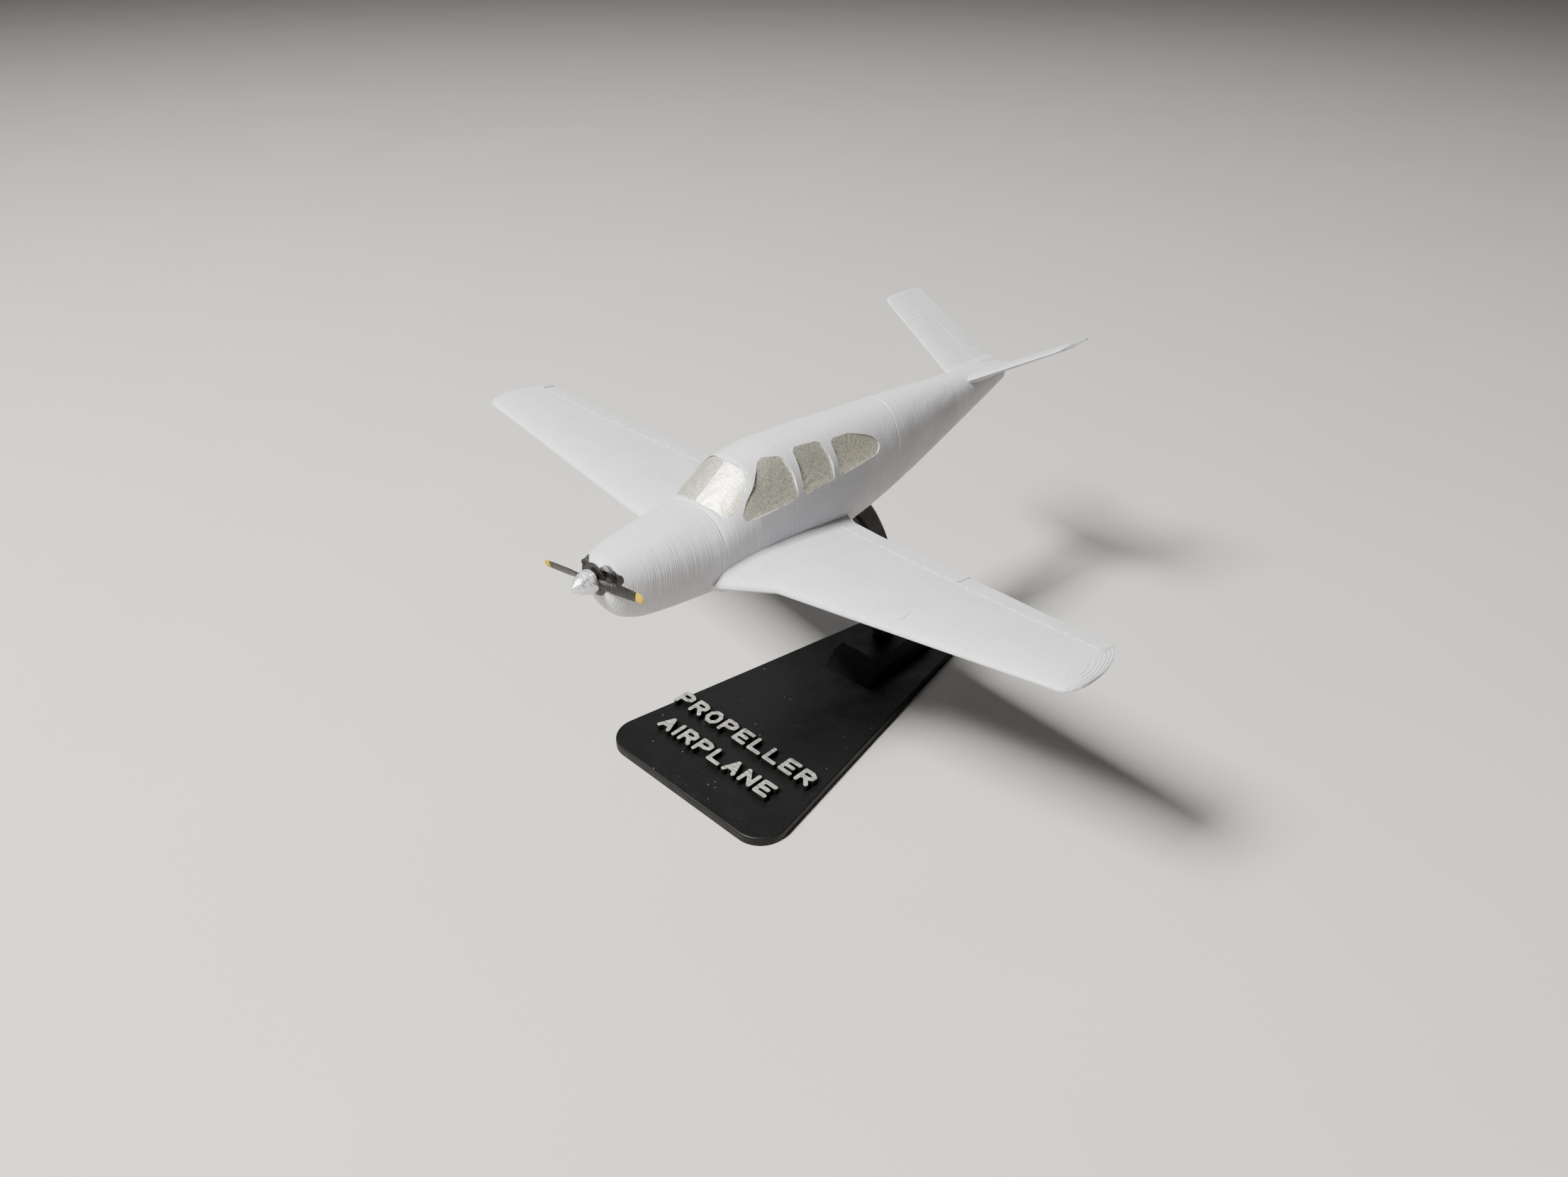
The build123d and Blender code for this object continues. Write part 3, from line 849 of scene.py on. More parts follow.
@dataclass(frozen=True)
class DabbedPaint:
    """Thick enamel dabbed on small parts: black on the blades, yellow on their tips.

    It gives an even colour with soft lumps and a satin gloss.
    """

    name: str
    base: str
    second: str
    roughness: float = 0.4
    lump_mm: float = 0.5
    specular: float = 0.35

    def material(self) -> bpy.types.Material:
        """Builds the material."""
        material, tree, shader = new_material(self.name)
        level = FLIGHT.coordinates(tree)
        lumps = add_node(
            tree, "ShaderNodeTexNoise",
            {"Vector": level, "Scale": 1 / (self.lump_mm * MM), "Detail": 4.0, "Roughness": 0.6},
        )
        colour = add_node(
            tree, "ShaderNodeMix",
            {0: lumps.outputs[0], 6: linear(self.base), 7: linear(self.second)}, data_type="RGBA",
        )
        rough = add_node(
            tree, "ShaderNodeMapRange",
            {"Value": lumps.outputs[0], "From Min": 0.3, "From Max": 0.7,
             "To Min": self.roughness - 0.08, "To Max": self.roughness + 0.12},
        )
        bump = add_node(
            tree, "ShaderNodeBump",
            {"Height": lumps.outputs[0], "Distance": 0.05 * MM, "Strength": 0.6},
        )
        tree.links.new(colour.outputs[2], shader.inputs["Base Color"])
        tree.links.new(rough.outputs[0], shader.inputs["Roughness"])
        tree.links.new(bump.outputs[0], shader.inputs["Normal"])
        shader.inputs["Specular IOR Level"].default_value = self.specular
        return material


@dataclass(frozen=True)
class DrawnRod:
    """A drawn rod, of bare filament or steel: fine scratches along its length."""

    name: str
    base: str
    scratch: str
    metallic: float
    roughness: float

    def material(self) -> bpy.types.Material:
        """Builds the material."""
        material, tree, shader = new_material(self.name)
        level = FLIGHT.coordinates(tree)
        stretched = add_node(
            tree, "ShaderNodeMapping",
            {"Vector": level, "Scale": (1 / (0.3 * MM), 1 / (4 * MM), 1 / (0.3 * MM))},
        )
        marks = add_node(
            tree, "ShaderNodeTexNoise", {"Vector": stretched.outputs[0], "Scale": 1.0, "Detail": 4.0}
        )
        colour = add_node(
            tree, "ShaderNodeMix",
            {0: marks.outputs[0], 6: linear(self.base), 7: linear(self.scratch)}, data_type="RGBA",
        )
        bump = add_node(
            tree, "ShaderNodeBump", {"Height": marks.outputs[0], "Distance": 0.01 * MM, "Strength": 0.5}
        )
        tree.links.new(colour.outputs[2], shader.inputs["Base Color"])
        tree.links.new(bump.outputs[0], shader.inputs["Normal"])
        shader.inputs["Metallic"].default_value = self.metallic
        shader.inputs["Roughness"].default_value = self.roughness
        return material


@dataclass(frozen=True)
class FloorCard:
    """Matte pale card under the model, with the faintest unevenness of tone."""

    name: str = "matte_card"
    light: str = "a5a39f"
    shade: str = "9f9d99"

    def material(self) -> bpy.types.Material:
        """Builds the material."""
        material, tree, shader = new_material(self.name)
        place = add_node(tree, "ShaderNodeTexCoord").outputs["Object"]
        cloud = add_node(
            tree, "ShaderNodeTexNoise", {"Vector": place, "Scale": 1 / (60 * MM), "Detail": 2.0}
        )
        colour = add_node(
            tree, "ShaderNodeMix",
            {0: cloud.outputs[0], 6: linear(self.shade), 7: linear(self.light)}, data_type="RGBA",
        )
        tree.links.new(colour.outputs[2], shader.inputs["Base Color"])
        shader.inputs["Roughness"].default_value = 0.85
        return material


# ---------------------------------------------------------------- fuselage
WINDSCREEN_FOOT_Y, WINDSCREEN_HEAD_Y, SEAM_Y = -21.5, -13.2, 27.0


@dataclass
class Fuselage:
    """The printed body: front and rear halves, pockets with silver panes, and its inlets.

    A section is a superellipse given by its half width, top, bottom and widest height.
    """

    # aft, half width, top, bottom, height of the widest place
    cowl: Array = field(default_factory=lambda: np.array([
        (-43.0, 3.9, 10.5, 3.5, 6.8), (-42.2, 4.5, 10.9, 1.7, 6.6), (-40.0, 5.4, 11.5, -1.0, 6.3),
        (-35.0, 6.6, 12.3, -2.7, 6.0), (-28.0, 7.7, 13.0, -3.1, 5.6), (-21.5, 8.5, 13.3, -3.3, 5.5),
    ]))
    cabin: Array = field(default_factory=lambda: np.array([
        (-13.2, 9.0, 19.4, -3.9, 5.5), (-5.0, 8.9, 20.4, -4.2, 5.5), (8.0, 8.2, 20.1, -4.0, 5.6),
        (20.0, 7.3, 19.5, -2.7, 6.6), (27.0, 6.7, 19.15, -1.2, 7.5), (34.0, 6.0, 18.8, 0.7, 8.5),
        (48.0, 4.5, 17.9, 4.9, 10.8), (60.0, 3.1, 17.1, 8.8, 12.8), (70.2, 1.7, 16.1, 12.0, 14.1),
    ]))
    squareness: float = 2.35
    around: int = 152
    ring_step: float = 0.15
    layer_step: float = 0.45
    layer_jitter: float = 0.010
    pane_recess: float = 0.12
    pane_back: float = 0.79
    pocket_depth: float = 0.82
    side_windows: tuple = (
        ((-17.6, 11.0), (-15.55, 13.9), (-11.95, 17.35), (-10.2, 18.75), (-8.6, 19.2), (-4.9, 18.8),
         (-3.6, 15.5), (-3.6, 11.1)),
        ((-2.1, 11.1), (-2.0, 16.0), (-1.9, 19.1), (5.3, 18.5), (6.8, 15.0), (6.7, 11.1)),
        ((8.4, 11.3), (8.2, 14.6), (7.8, 18.0), (13.4, 17.6), (18.8, 15.8), (21.6, 13.2), (19.8, 11.8)),
    )
    side_corners: tuple = (
        (0.9, 5.0, 5.0, 3.0, 3.0, 1.7, 6.0, 1.0),
        (0.8, 8.0, 0.9, 1.8, 5.0, 0.9),
        (0.7, 6.0, 0.9, 6.0, 6.0, 1.3, 1.3),
    )
    windscreen: tuple = (
        (0.05, 13.7), (4.5, 13.1), (7.0, 11.6), (6.2, 15.6), (4.9, 18.0), (3.0, 18.85), (0.05, 19.1)
    )
    windscreen_corners: tuple = (0.25, 8.0, 0.55, 6.0, 2.6, 4.0, 0.4)
    pane_flatness: float = 0.45  # share by which a pane is flatter than the skin round it
    inlet_centre: tuple[float, float] = (3.1, 8.9)
    inlet_radii: tuple[float, float] = (1.25, 0.72)
    inlet_back: float = -42.3

    def sizes(self, y: Array) -> Array:
        """Section sizes at y, softened a little over the creases at the windscreen's ends.

        Formula: a smooth curve through the cowl's and the cabin's tables, a straight run between
        them, averaged over five places within a short reach of each crease.

        Args:
            y: Distances aft.

        Returns:
            Half width, top, bottom and widest height, shape (*y.shape, 4).
        """
        reach = 0.12 + 0.5 * bell(y - WINDSCREEN_HEAD_Y, 1.2)
        total = 0.0
        for share in (-1.0, -0.5, 0.0, 0.5, 1.0):
            at = y + share * reach
            ahead = smooth_through(self.cowl[:, 0], self.cowl[:, 1:], np.clip(at, -43.0, WINDSCREEN_FOOT_Y))
            behind = smooth_through(self.cabin[:, 0], self.cabin[:, 1:], np.clip(at, WINDSCREEN_HEAD_Y, 70.2))
            run = np.clip((at - WINDSCREEN_FOOT_Y) / (WINDSCREEN_HEAD_Y - WINDSCREEN_FOOT_Y), 0, 1)[..., None]
            between = ahead * (1 - run) + behind * run
            total = total + np.where(run <= 0, ahead, np.where(run >= 1, behind, between))
        return total / 5

    def skin(self, y: Array, angle: Array, inset: Array) -> Array:
        """Points of the skin.

        Formula: sideways is the half width times the angle's cosine to the power 2 over the
        squareness, and upwards likewise with its sine, both with their signs.

        Args:
            y: Distances aft.
            angle: Angles from the left side, over the top when positive.
            inset: How far the surface is pulled in.

        Returns:
            Points in the aeroplane's frame.
        """
        half, top, bottom, middle = np.moveaxis(self.sizes(y), -1, 0)
        cos, sin = np.cos(angle), np.sin(angle)
        power = 2 / self.squareness
        x = np.sign(cos) * np.abs(cos) ** power * (half - inset)
        reach = np.where(sin >= 0, top - inset - middle, bottom + inset - middle)
        return np.stack([x, y + 0 * x, middle + np.abs(sin) ** power * reach], -1)

    def side_x(self, y: Array, z: Array, inset: float = 0.0) -> Array:
        """Half width of the section at a height: the superellipse solved for x."""
        half, top, bottom, middle = np.moveaxis(self.sizes(y), -1, 0)
        reach = np.where(z >= middle, top - inset - middle, middle - bottom - inset)
        share = np.clip(np.abs(z - middle) / reach, 0, 1) ** self.squareness
        return (half - inset) * (1 - share) ** (1 / self.squareness)

    def on_side(self, plan: Array, inset: float) -> Array:
        """Side-view points (aft, up) laid on the left skin."""
        y, z = plan[..., 0], plan[..., 1]
        return np.stack([self.side_x(y, z, inset), y, z], -1)

    def on_windscreen(self, plan: Array, inset: float) -> Array:
        """Front-view points (sideways, up) laid on the windscreen, by halving the search 40 times."""
        x, z = plan[..., 0], plan[..., 1]
        low, high = np.full(x.shape, WINDSCREEN_FOOT_Y - 0.4), np.full(x.shape, WINDSCREEN_HEAD_Y + 2.5)
        for _ in range(40):
            middle = (low + high) / 2
            outside = self.side_x(middle, z, inset) < x
            low, high = np.where(outside, middle, low), np.where(outside, high, middle)
        return np.stack([x, (low + high) / 2, z], -1)

    def dish(self, outline: Array, front: Callable[[Array], Array], back: Callable[[Array], Array]) -> Shell:
        """A closed inlay between two surfaces inside one outline.

        Formula: rings shrink from the outline towards its middle on the front surface and again
        on the back surface, and a pole closes each.

        Args:
            outline: The outline in plan, shape (n, 2).
            front: Lays plan points on the front surface.
            back: Lays plan points on the back surface.

        Returns:
            The shell.
        """
        centre = outline.mean(0)
        share = np.array([0.06, 0.14, 0.24, 0.34, 0.45, 0.56, 0.66, 0.75, 0.83, 0.89, 0.94, 0.975, 1.0])
        plan = centre + share[:, None, None] * (outline - centre)
        rings = np.concatenate([front(plan), back(plan[::-1])])
        poles = [surface(centre[None])[0] for surface in (front, back)]
        return Shell.from_rings(rings, *poles)

    def panes(self) -> dict[str, tuple[Shell, Shell]]:
        """Each left pane with the tool that cuts its pocket, by name."""
        made = {}
        kinds = [("windscreen", self.windscreen, self.windscreen_corners, self.on_windscreen, [0, -2.0, 0])]
        for number, (corners, radii) in enumerate(zip(self.side_windows, self.side_corners), start=1):
            kinds.append((f"side_window_{number}", corners, radii, self.on_side, [2.0, 0, 0]))
        for seed, (name, corners, radii, place, out) in enumerate(kinds):
            outline = rounded_outline(corners, radii, spacing=0.22)
            rim = place(outline, self.pane_recess)
            middle = rim.mean(0)
            normal = np.linalg.svd(rim - middle)[2][2]

            def face(plan: Array) -> Array:
                """The pane's front: recessed, flatter than the skin, with slow waves in its coat."""
                laid = place(plan, self.pane_recess)
                bulge = ((laid - middle) @ normal)[..., None] * normal
                swell = 0.02 * ripple(plan, 1.6, seed + 40)[..., None] * np.sign(out)
                return laid - self.pane_flatness * bulge + swell

            pane = self.dish(outline, face, lambda plan: place(plan, self.pane_back))
            tool = self.dish(
                outline, lambda plan: place(plan, 0.0) + out, lambda plan: place(plan, self.pocket_depth)
            )
            made[name] = (pane, tool)
        return made

    def relief(self, y: Array, angle: Array) -> Array:
        """How far the painted print stands off the plain section.

        Formula: a seeded height for each pair of layers, a bead over each, three low ridges ahead
        of the windscreen over the upper half, and slow unevenness of the hand-sanded surface.

        Args:
            y: Distances aft.
            angle: Angles round the section.

        Returns:
            Offsets outwards.
        """
        rng = np.random.default_rng(7)
        heights = rng.uniform(-1, 1, 300)
        layer = (y + 45.0) / self.layer_step
        whole = np.floor(layer).astype(int)
        bead = np.sin(np.pi * (layer - whole)) - 0.64
        offset = self.layer_jitter * (heights[whole] + 0.7 * bead) * (1.15 - 0.95 * ease(y, -22.0, -13.0))
        upper = ease(np.sin(angle), 0.25, 0.6)
        for distance, height in ((0.0, -0.10), (0.45, 0.13), (1.0, 0.09), (1.6, 0.06)):
            offset = offset + upper * height * bell(y - (WINDSCREEN_FOOT_Y - distance), 0.17)
        place = np.stack([6 * np.cos(angle), y + 0 * angle, 6 * np.sin(angle)], -1)
        return offset + 0.03 * ripple(place, 14.0, 3) + 0.008 * ripple(place, 2.2, 4)

    def half(self, rows: Array, pulls: Array) -> Array:
        """Rings of the skin at the given rows, each pulled in by its own amount."""
        angle = np.linspace(0, 2 * math.pi, self.around, endpoint=False)
        y, turn = np.meshgrid(rows, angle, indexing="ij")
        inset = pulls[:, None] - self.relief(y, turn)
        return self.skin(y, turn, inset)

    def front_shell(self) -> Shell:
        """Front half: a rounded nose face, the skin to the seam, and a chamfer at the seam."""
        body = np.arange(-42.9, SEAM_Y - 0.2, self.ring_step)
        nose = np.array([-43.16, -43.15, -43.12, -43.06, -42.98])
        rows = np.concatenate([nose, body[1:], [SEAM_Y - 0.12, SEAM_Y - 0.04]])
        pulls = np.concatenate([[2.2, 1.0, 0.5, 0.25, 0.08], 0 * body[1:], [0.02, 0.10]])
        return Shell.from_rings(self.half(rows, pulls))

    def rear_shell(self) -> Shell:
        """Rear half: a chamfer at the seam, the tail cone, and a rounded end."""
        body = np.arange(SEAM_Y + 0.3, 70.0, self.ring_step * 1.25)
        rows = np.concatenate([[SEAM_Y + 0.0, SEAM_Y + 0.1], body, [70.25, 70.4, 70.5, 70.55]])
        pulls = np.concatenate([[0.12, 0.02], 0 * body, [0.1, 0.35, 0.75, 1.2]])
        pulls = pulls + 0.5 * ease(rows, 69.2, 70.6)
        return Shell.from_rings(self.half(rows, pulls))

    def inlets(self, front_y: float, back_y: float, grow: float) -> list[Shell]:
        """Two oval plugs along the body: ellipses at a few distances aft."""
        turn = np.linspace(0, 2 * math.pi, 48, endpoint=False)
        rows = np.linspace(front_y, back_y, 4)[:, None]
        (cx, cz), (rx, rz) = self.inlet_centre, self.inlet_radii
        x = cx + (rx + grow) * np.cos(turn) + 0 * rows
        z = cz + (rz + grow) * np.sin(turn) - 0.35 * (x - cx)
        rings = np.stack([x, rows + 0 * x, z], -1)
        left = Shell.from_rings(rings)
        return [left, left.mirrored(Side.RIGHT)]

    def build(
        self,
        arm: "Arm",
        grey: bpy.types.Material,
        silver: bpy.types.Material,
        black: bpy.types.Material,
    ) -> None:
        """Makes and dresses the body, its panes and its inlets.

        Args:
            arm: The stand's arm, whose plug needs a pocket in the belly.
            grey: Paint of the skin.
            silver: Paint of the panes.
            black: Paint of the inlets.
        """
        panes = self.panes()
        tools = [tool.mirrored(side) for _, tool in panes.values() for side in Side]
        tools += self.inlets(-44.0, self.inlet_back, 0.0)
        tools = [FLIGHT.placed(tool) for tool in tools] + [arm.plug_pocket()]
        front = put_mesh("fuselage_front_skin", [FLIGHT.placed(self.front_shell())])
        cut_away(front, tools)
        dress(front, grey, "aeroplane", ["fuselage_front"])
        rear = put_mesh("fuselage_rear_skin", [FLIGHT.placed(self.rear_shell())])
        dress(rear, grey, "aeroplane", ["fuselage_rear"])
        for name, (pane, _) in panes.items():
            for side in Side:
                word = side.name.lower()
                piece = put_mesh(f"{name}_pane_{word}", [FLIGHT.placed(pane.mirrored(side))])
                dress(piece, silver, "aeroplane", [f"{name}_{word}"])
        plugs = [FLIGHT.placed(p) for p in self.inlets(self.inlet_back - 0.35, self.inlet_back + 0.2, -0.02)]
        inserts = put_mesh("inlet_ovals", plugs)
        dress(inserts, black, "aeroplane", ["inlet_inserts"])


# ---------------------------------------------------------------- wings and tail
def rib_height(u: Array, thickness: Array) -> Array:
    """Half height of a rib before it is shared between its sides.

    Formula: thickness times (1.4845 root u - 0.63 u - 1.758 u^2 + 1.4215 u^3 - 0.5075 u^4), plus
    0.18 u for the blunt trailing edge.

    Args:
        u: Share of the chord from the leading edge.
        thickness: The rib's greatest thickness.

    Returns:
        Heights above the chord line.
    """
    nose = 1.4845 * np.sqrt(u) - 0.63 * u - 1.758 * u**2 + 1.4215 * u**3 - 0.5075 * u**4
    return thickness * nose + 0.18 * u


@dataclass
class Wing:
    """One printed wing with a raised hinge line, its flap ends and a terraced tip."""

    side: Side
    body: Fuselage
    dihedral_deg: float = 6.3
    # out, leading edge, trailing edge, thickness
    plan: Array = field(default_factory=lambda: np.array([
        (6.0, -24.4, 11.2, 4.8), (9.0, -23.4, 11.2, 4.6), (17.7, -18.5, 9.4, 3.9), (68.9, -15.3, 1.0, 2.1),
        (70.5, -15.28, 0.62, 2.0), (71.5, -14.95, -0.45, 1.72), (72.3, -13.95, -2.5, 1.35),
        (72.85, -12.5, -4.6, 0.95), (73.1, -11.0, -6.2, 0.6), (73.2, -9.6, -7.4, 0.34),
    ]))
    upper_share: float = 1.2
    lower_share: float = 0.8
    hinge_ahead: float = 4.05    # hinge line ahead of the trailing edge
    hinge_ahead_tip: float = 3.3
    flap_end: float = 40.0
    hinge_end: float = 70.4
    scratches: tuple = ((41.6, -15.0, -11.8, 0.3), (43.0, -8.7, -7.5, 0.22))  # out, from, to, depth
    fillet_height: float = 1.45
    fillet_reach: float = 2.0
    layer: float = 0.16

    def rows(self) -> Array:
        """Distances out: even steps with more where a detail crosses the wing."""
        spans = [
            np.arange(6.0, 13.0, 0.2), np.arange(13.0, 70.0, 0.32), np.arange(70.0, 73.2, 0.05),
            np.arange(self.flap_end - 0.5, self.flap_end + 0.5, 0.06), np.arange(41.3, 41.9, 0.06),
            np.arange(42.7, 43.3, 0.06), [73.195],
        ]
        return np.unique(np.round(np.concatenate(spans), 3))

    def chord_shares(self, x: Array) -> tuple[Array, Array, Array, Array]:
        """Where the grid's chordwise lines lie on each rib.

        Formula: from the leading edge to the hinge they spread as the square of their number, seven
        crowd about the hinge line, and the rest run evenly to the trailing edge.

        Args:
            x: Distances out of the ribs.

        Returns:
            Leading edges, chords, hinge distances aft, and shares of the chord, shape (rows, lines).
        """
        leading, trailing, _ = self.sizes(x)
        chord = trailing - leading
        ahead = self.hinge_ahead + (self.hinge_ahead_tip - self.hinge_ahead) * ease(x, 52.0, 70.5)
        hinge = trailing - np.minimum(ahead, 0.4 * chord)
        crowd = np.array([-0.36, -0.2, -0.1, 0.0, 0.1, 0.2, 0.36]) * np.minimum(1, chord / 12)[:, None]
        near = (hinge[:, None] - leading[:, None] + crowd) / chord[:, None]
        front = np.linspace(0, 1, 44) ** 1.8
        front = front[:-1] * near[:, :1]
        back = near[:, -1:] + np.linspace(0, 1, 16)[1:] * (1 - near[:, -1:])
        return leading, chord, hinge, np.concatenate([front, near, back], 1)

    def sizes(self, x: Array) -> tuple[Array, Array, Array]:
        """Leading edge, trailing edge and thickness of a rib, straight between table rows."""
        return tuple(np.interp(x, self.plan[:, 0], self.plan[:, i]) for i in (1, 2, 3))

    def hinge_relief(self, x: Array, y: Array, hinge: Array) -> Array:
        """Relief of the hinge line and of the lines that end the moving surfaces.

        Formula: a broken bell-shaped ridge on the hinge line, a small drop behind it as far out as
        the hinge goes, a ridge with a groove beside it where the flap and the aileron end, and on
        the left wing two slits along the chord.

        Args:
            x: Distances out.
            y: Distances aft.
            hinge: Distances aft of the hinge line.

        Returns:
            Offsets off the upper surface.
        """
        seed = 11 if self.side is Side.LEFT else 12
        broken = 0.8 + 0.35 * ripple(x[..., None], 2.1, seed)
        inside = ease(x, 9.6, 10.2) * (1 - ease(x, self.hinge_end - 0.08, self.hinge_end + 0.02))
        behind = y - hinge
        ridge = 0.12 * np.clip(broken, 0.35, 1.1) * bell(behind, 0.14)
        drop = -0.15 * ease(behind, 0.0, 0.3)
        aft = ease(behind, -0.05, 0.2)
        ends = aft * (
            0.12 * bell(x - self.flap_end, 0.14) - 0.2 * bell(x - self.flap_end - 0.26, 0.1)
            - 0.3 * bell(x - self.hinge_end + 0.12, 0.12) + 0.1 * bell(x - self.hinge_end - 0.14, 0.14)
        )
        if self.side is Side.LEFT:
            for middle, first, last, depth in self.scratches:
                run = ease(y, first, first + 0.5) * (1 - ease(y, last - 0.5, last))
                ends = ends - depth * bell(x - middle, 0.1) * run
        return inside * (ridge + drop) + ends

    def shell(self) -> Shell:
        """The wing as a stack of ribs, upper side from the trailing edge forward, then the lower.

        Formula: a rib's height times its side's share, plus the relief, plus a fillet that rises
        towards the fuselage as the square of the nearness, over the plane that climbs outwards.
        The upper side near the tip is cut into print layers.
        """
        x = self.rows()
        leading, chord, hinge, u = self.chord_shares(x)
        y = leading[:, None] + chord[:, None] * u
        out = np.broadcast_to(x[:, None], y.shape)
        plane = out * math.tan(math.radians(self.dihedral_deg))
        height = rib_height(u, self.sizes(x)[2][:, None])
        near = out - self.body.side_x(y, plane + 0.6)
        fillet = self.fillet_height * np.clip(1 - near / self.fillet_reach, 0, 1) ** 2
        fillet = fillet * ease(u, 0.0, 0.06)
        rng = np.random.default_rng(21 if self.side is Side.LEFT else 22)
        strokes = 0.006 * rng.normal(size=len(x))[:, None] * ease(u, 0.0, 0.1)
        uneven = 0.03 * ripple(np.stack([out, y], -1), 13.0, 31 + self.side.value)
        smooth_up = self.upper_share * height
        terraced = layered(smooth_up, self.layer, 0.22)
        at_tip = ease(out, 70.5, 71.1)
        upper = smooth_up * (1 - at_tip) + terraced * at_tip
        relief = self.hinge_relief(out, y, hinge[:, None])
        upper = upper + relief + strokes + uneven * ease(u, 0, 0.1) + fillet
        lower = -self.lower_share * height + uneven * ease(u, 0, 0.1) - 0.5 * fillet
        poke = 0.3 * bell(out - self.flap_end, 0.16) * ease(u, 0.9, 1.0)
        top = np.stack([out, y + poke, plane + upper], -1)[:, ::-1]
        under = np.stack([out, y + poke, plane + lower], -1)[:, 1:]
        return Shell.from_rings(np.concatenate([top, under], 1)).mirrored(self.side)

    def build(self, grey: bpy.types.Material) -> None:
        """Makes and dresses the wing."""
        word = self.side.name.lower()
        piece = put_mesh(f"{word}_wing_skin", [FLIGHT.placed(self.shell())], sharp_deg=50.0)
        dress(piece, grey, "aeroplane", [f"{word}_wing"])


@dataclass
class TailHalf:
    """One half of the V tail: blunt leading edge, hinge groove, trim tab step and balance horn."""

    side: Side
    dihedral_deg: float = 30.7
    apex_z: float = 14.6
    root: float = 1.2
    tip: float = 25.8
    # out, leading edge, trailing edge, thickness
    plan: Array = field(default_factory=lambda: np.array([
        (1.2, 53.9, 69.0, 1.45), (13.6, 54.6, 68.15, 1.2), (23.9, 55.15, 67.2, 0.95),
        (24.9, 55.4, 67.05, 0.9), (25.4, 55.8, 66.7, 0.8), (25.7, 56.5, 66.1, 0.62), (25.8, 57.2, 65.4, 0.4),
    ]))
    hinge_share: float = 0.645
    hinge_end: float = 24.3
    horn_share: float = 0.32
    tab_end: float = 13.66
    tab_reach: float = 0.65

    def shell(self) -> Shell:
        """The half as a stack of ribs square to its own slope.

        Formula: a rib's height on both sides, less a bell-shaped groove on the hinge line and on
        the horn's line, with the trailing edge moved aft over the tab.
        """
        spans = [
            np.arange(self.root, 25.0, 0.28), np.arange(self.hinge_end - 0.3, self.tip, 0.06),
            self.tab_end + np.arange(-0.16, 0.17, 0.04), [self.tip - 0.01],
        ]
        s = np.unique(np.round(np.concatenate(spans), 3))
        leading, trailing, thickness = (np.interp(s, self.plan[:, 0], self.plan[:, i]) for i in (1, 2, 3))
        trailing = trailing + self.tab_reach * (1 - ease(s, self.tab_end - 0.06, self.tab_end + 0.06))
        chord = np.interp(s, self.plan[:, 0], self.plan[:, 2]) - leading
        hinge = leading + self.hinge_share * chord
        length = trailing - leading
        near = (hinge - leading)[:, None] + np.array([-0.3, -0.15, -0.07, 0.0, 0.07, 0.15, 0.3])
        near = near / length[:, None]
        front = (np.linspace(0, 1, 34) ** 1.8)[:-1] * near[:, :1]
        back = near[:, -1:] + np.linspace(0, 1, 14)[1:] * (1 - near[:, -1:])
        u = np.concatenate([front, near, back], 1)
        y = leading[:, None] + length[:, None] * u
        out = np.broadcast_to(s[:, None], y.shape)
        height = rib_height(u, thickness[:, None]) * 0.95
        behind = y - hinge[:, None]
        groove = -0.07 * bell(behind, 0.1) * (1 - ease(out, self.hinge_end, self.hinge_end + 0.05))
        share = (y - leading[:, None]) / chord[:, None]
        horn = ease(share, self.horn_share - 0.01, self.horn_share)
        horn = horn * (1 - ease(share, self.hinge_share, self.hinge_share + 0.01))
        groove = groove - 0.09 * bell(out - self.hinge_end, 0.09) * horn
        tab = -0.05 * bell(y - (hinge[:, None] + 0.72 * (trailing[:, None] - hinge[:, None])), 0.1)
        groove = groove + tab * (1 - ease(out, self.tab_end, self.tab_end + 0.1))
        fillet = 0.55 * np.clip(1 - (out - 2.6) / 1.6, 0, 1) ** 2 * ease(u, 0.0, 0.05)
        rng = np.random.default_rng(51 + self.side.value)
        strokes = 0.005 * rng.normal(size=len(s))[:, None] + 0.02 * ripple(np.stack([out, y], -1), 8.0, 55)
        relief = ease(u, 0.0, 0.08) * (groove + strokes)
        slope = math.radians(self.dihedral_deg)

        def laid(high: Array) -> Array:
            """Ribs' heights carried to the half's sloping plane."""
            x = out * math.cos(slope) - high * math.sin(slope)
            z = self.apex_z + out * math.sin(slope) + high * math.cos(slope)
            return np.stack([x, y, z], -1)

        proud = height + relief + fillet
        rings = np.concatenate([laid(proud)[:, ::-1], laid(-proud)[:, 1:]], 1)
        return Shell.from_rings(rings).mirrored(self.side)

    def build(self, grey: bpy.types.Material) -> None:
        """Makes and dresses the half."""
        word = self.side.name.lower()
        piece = put_mesh(f"{word}_tail_skin", [FLIGHT.placed(self.shell())], sharp_deg=50.0)
        dress(piece, grey, "aeroplane", [f"{word}_tail"])


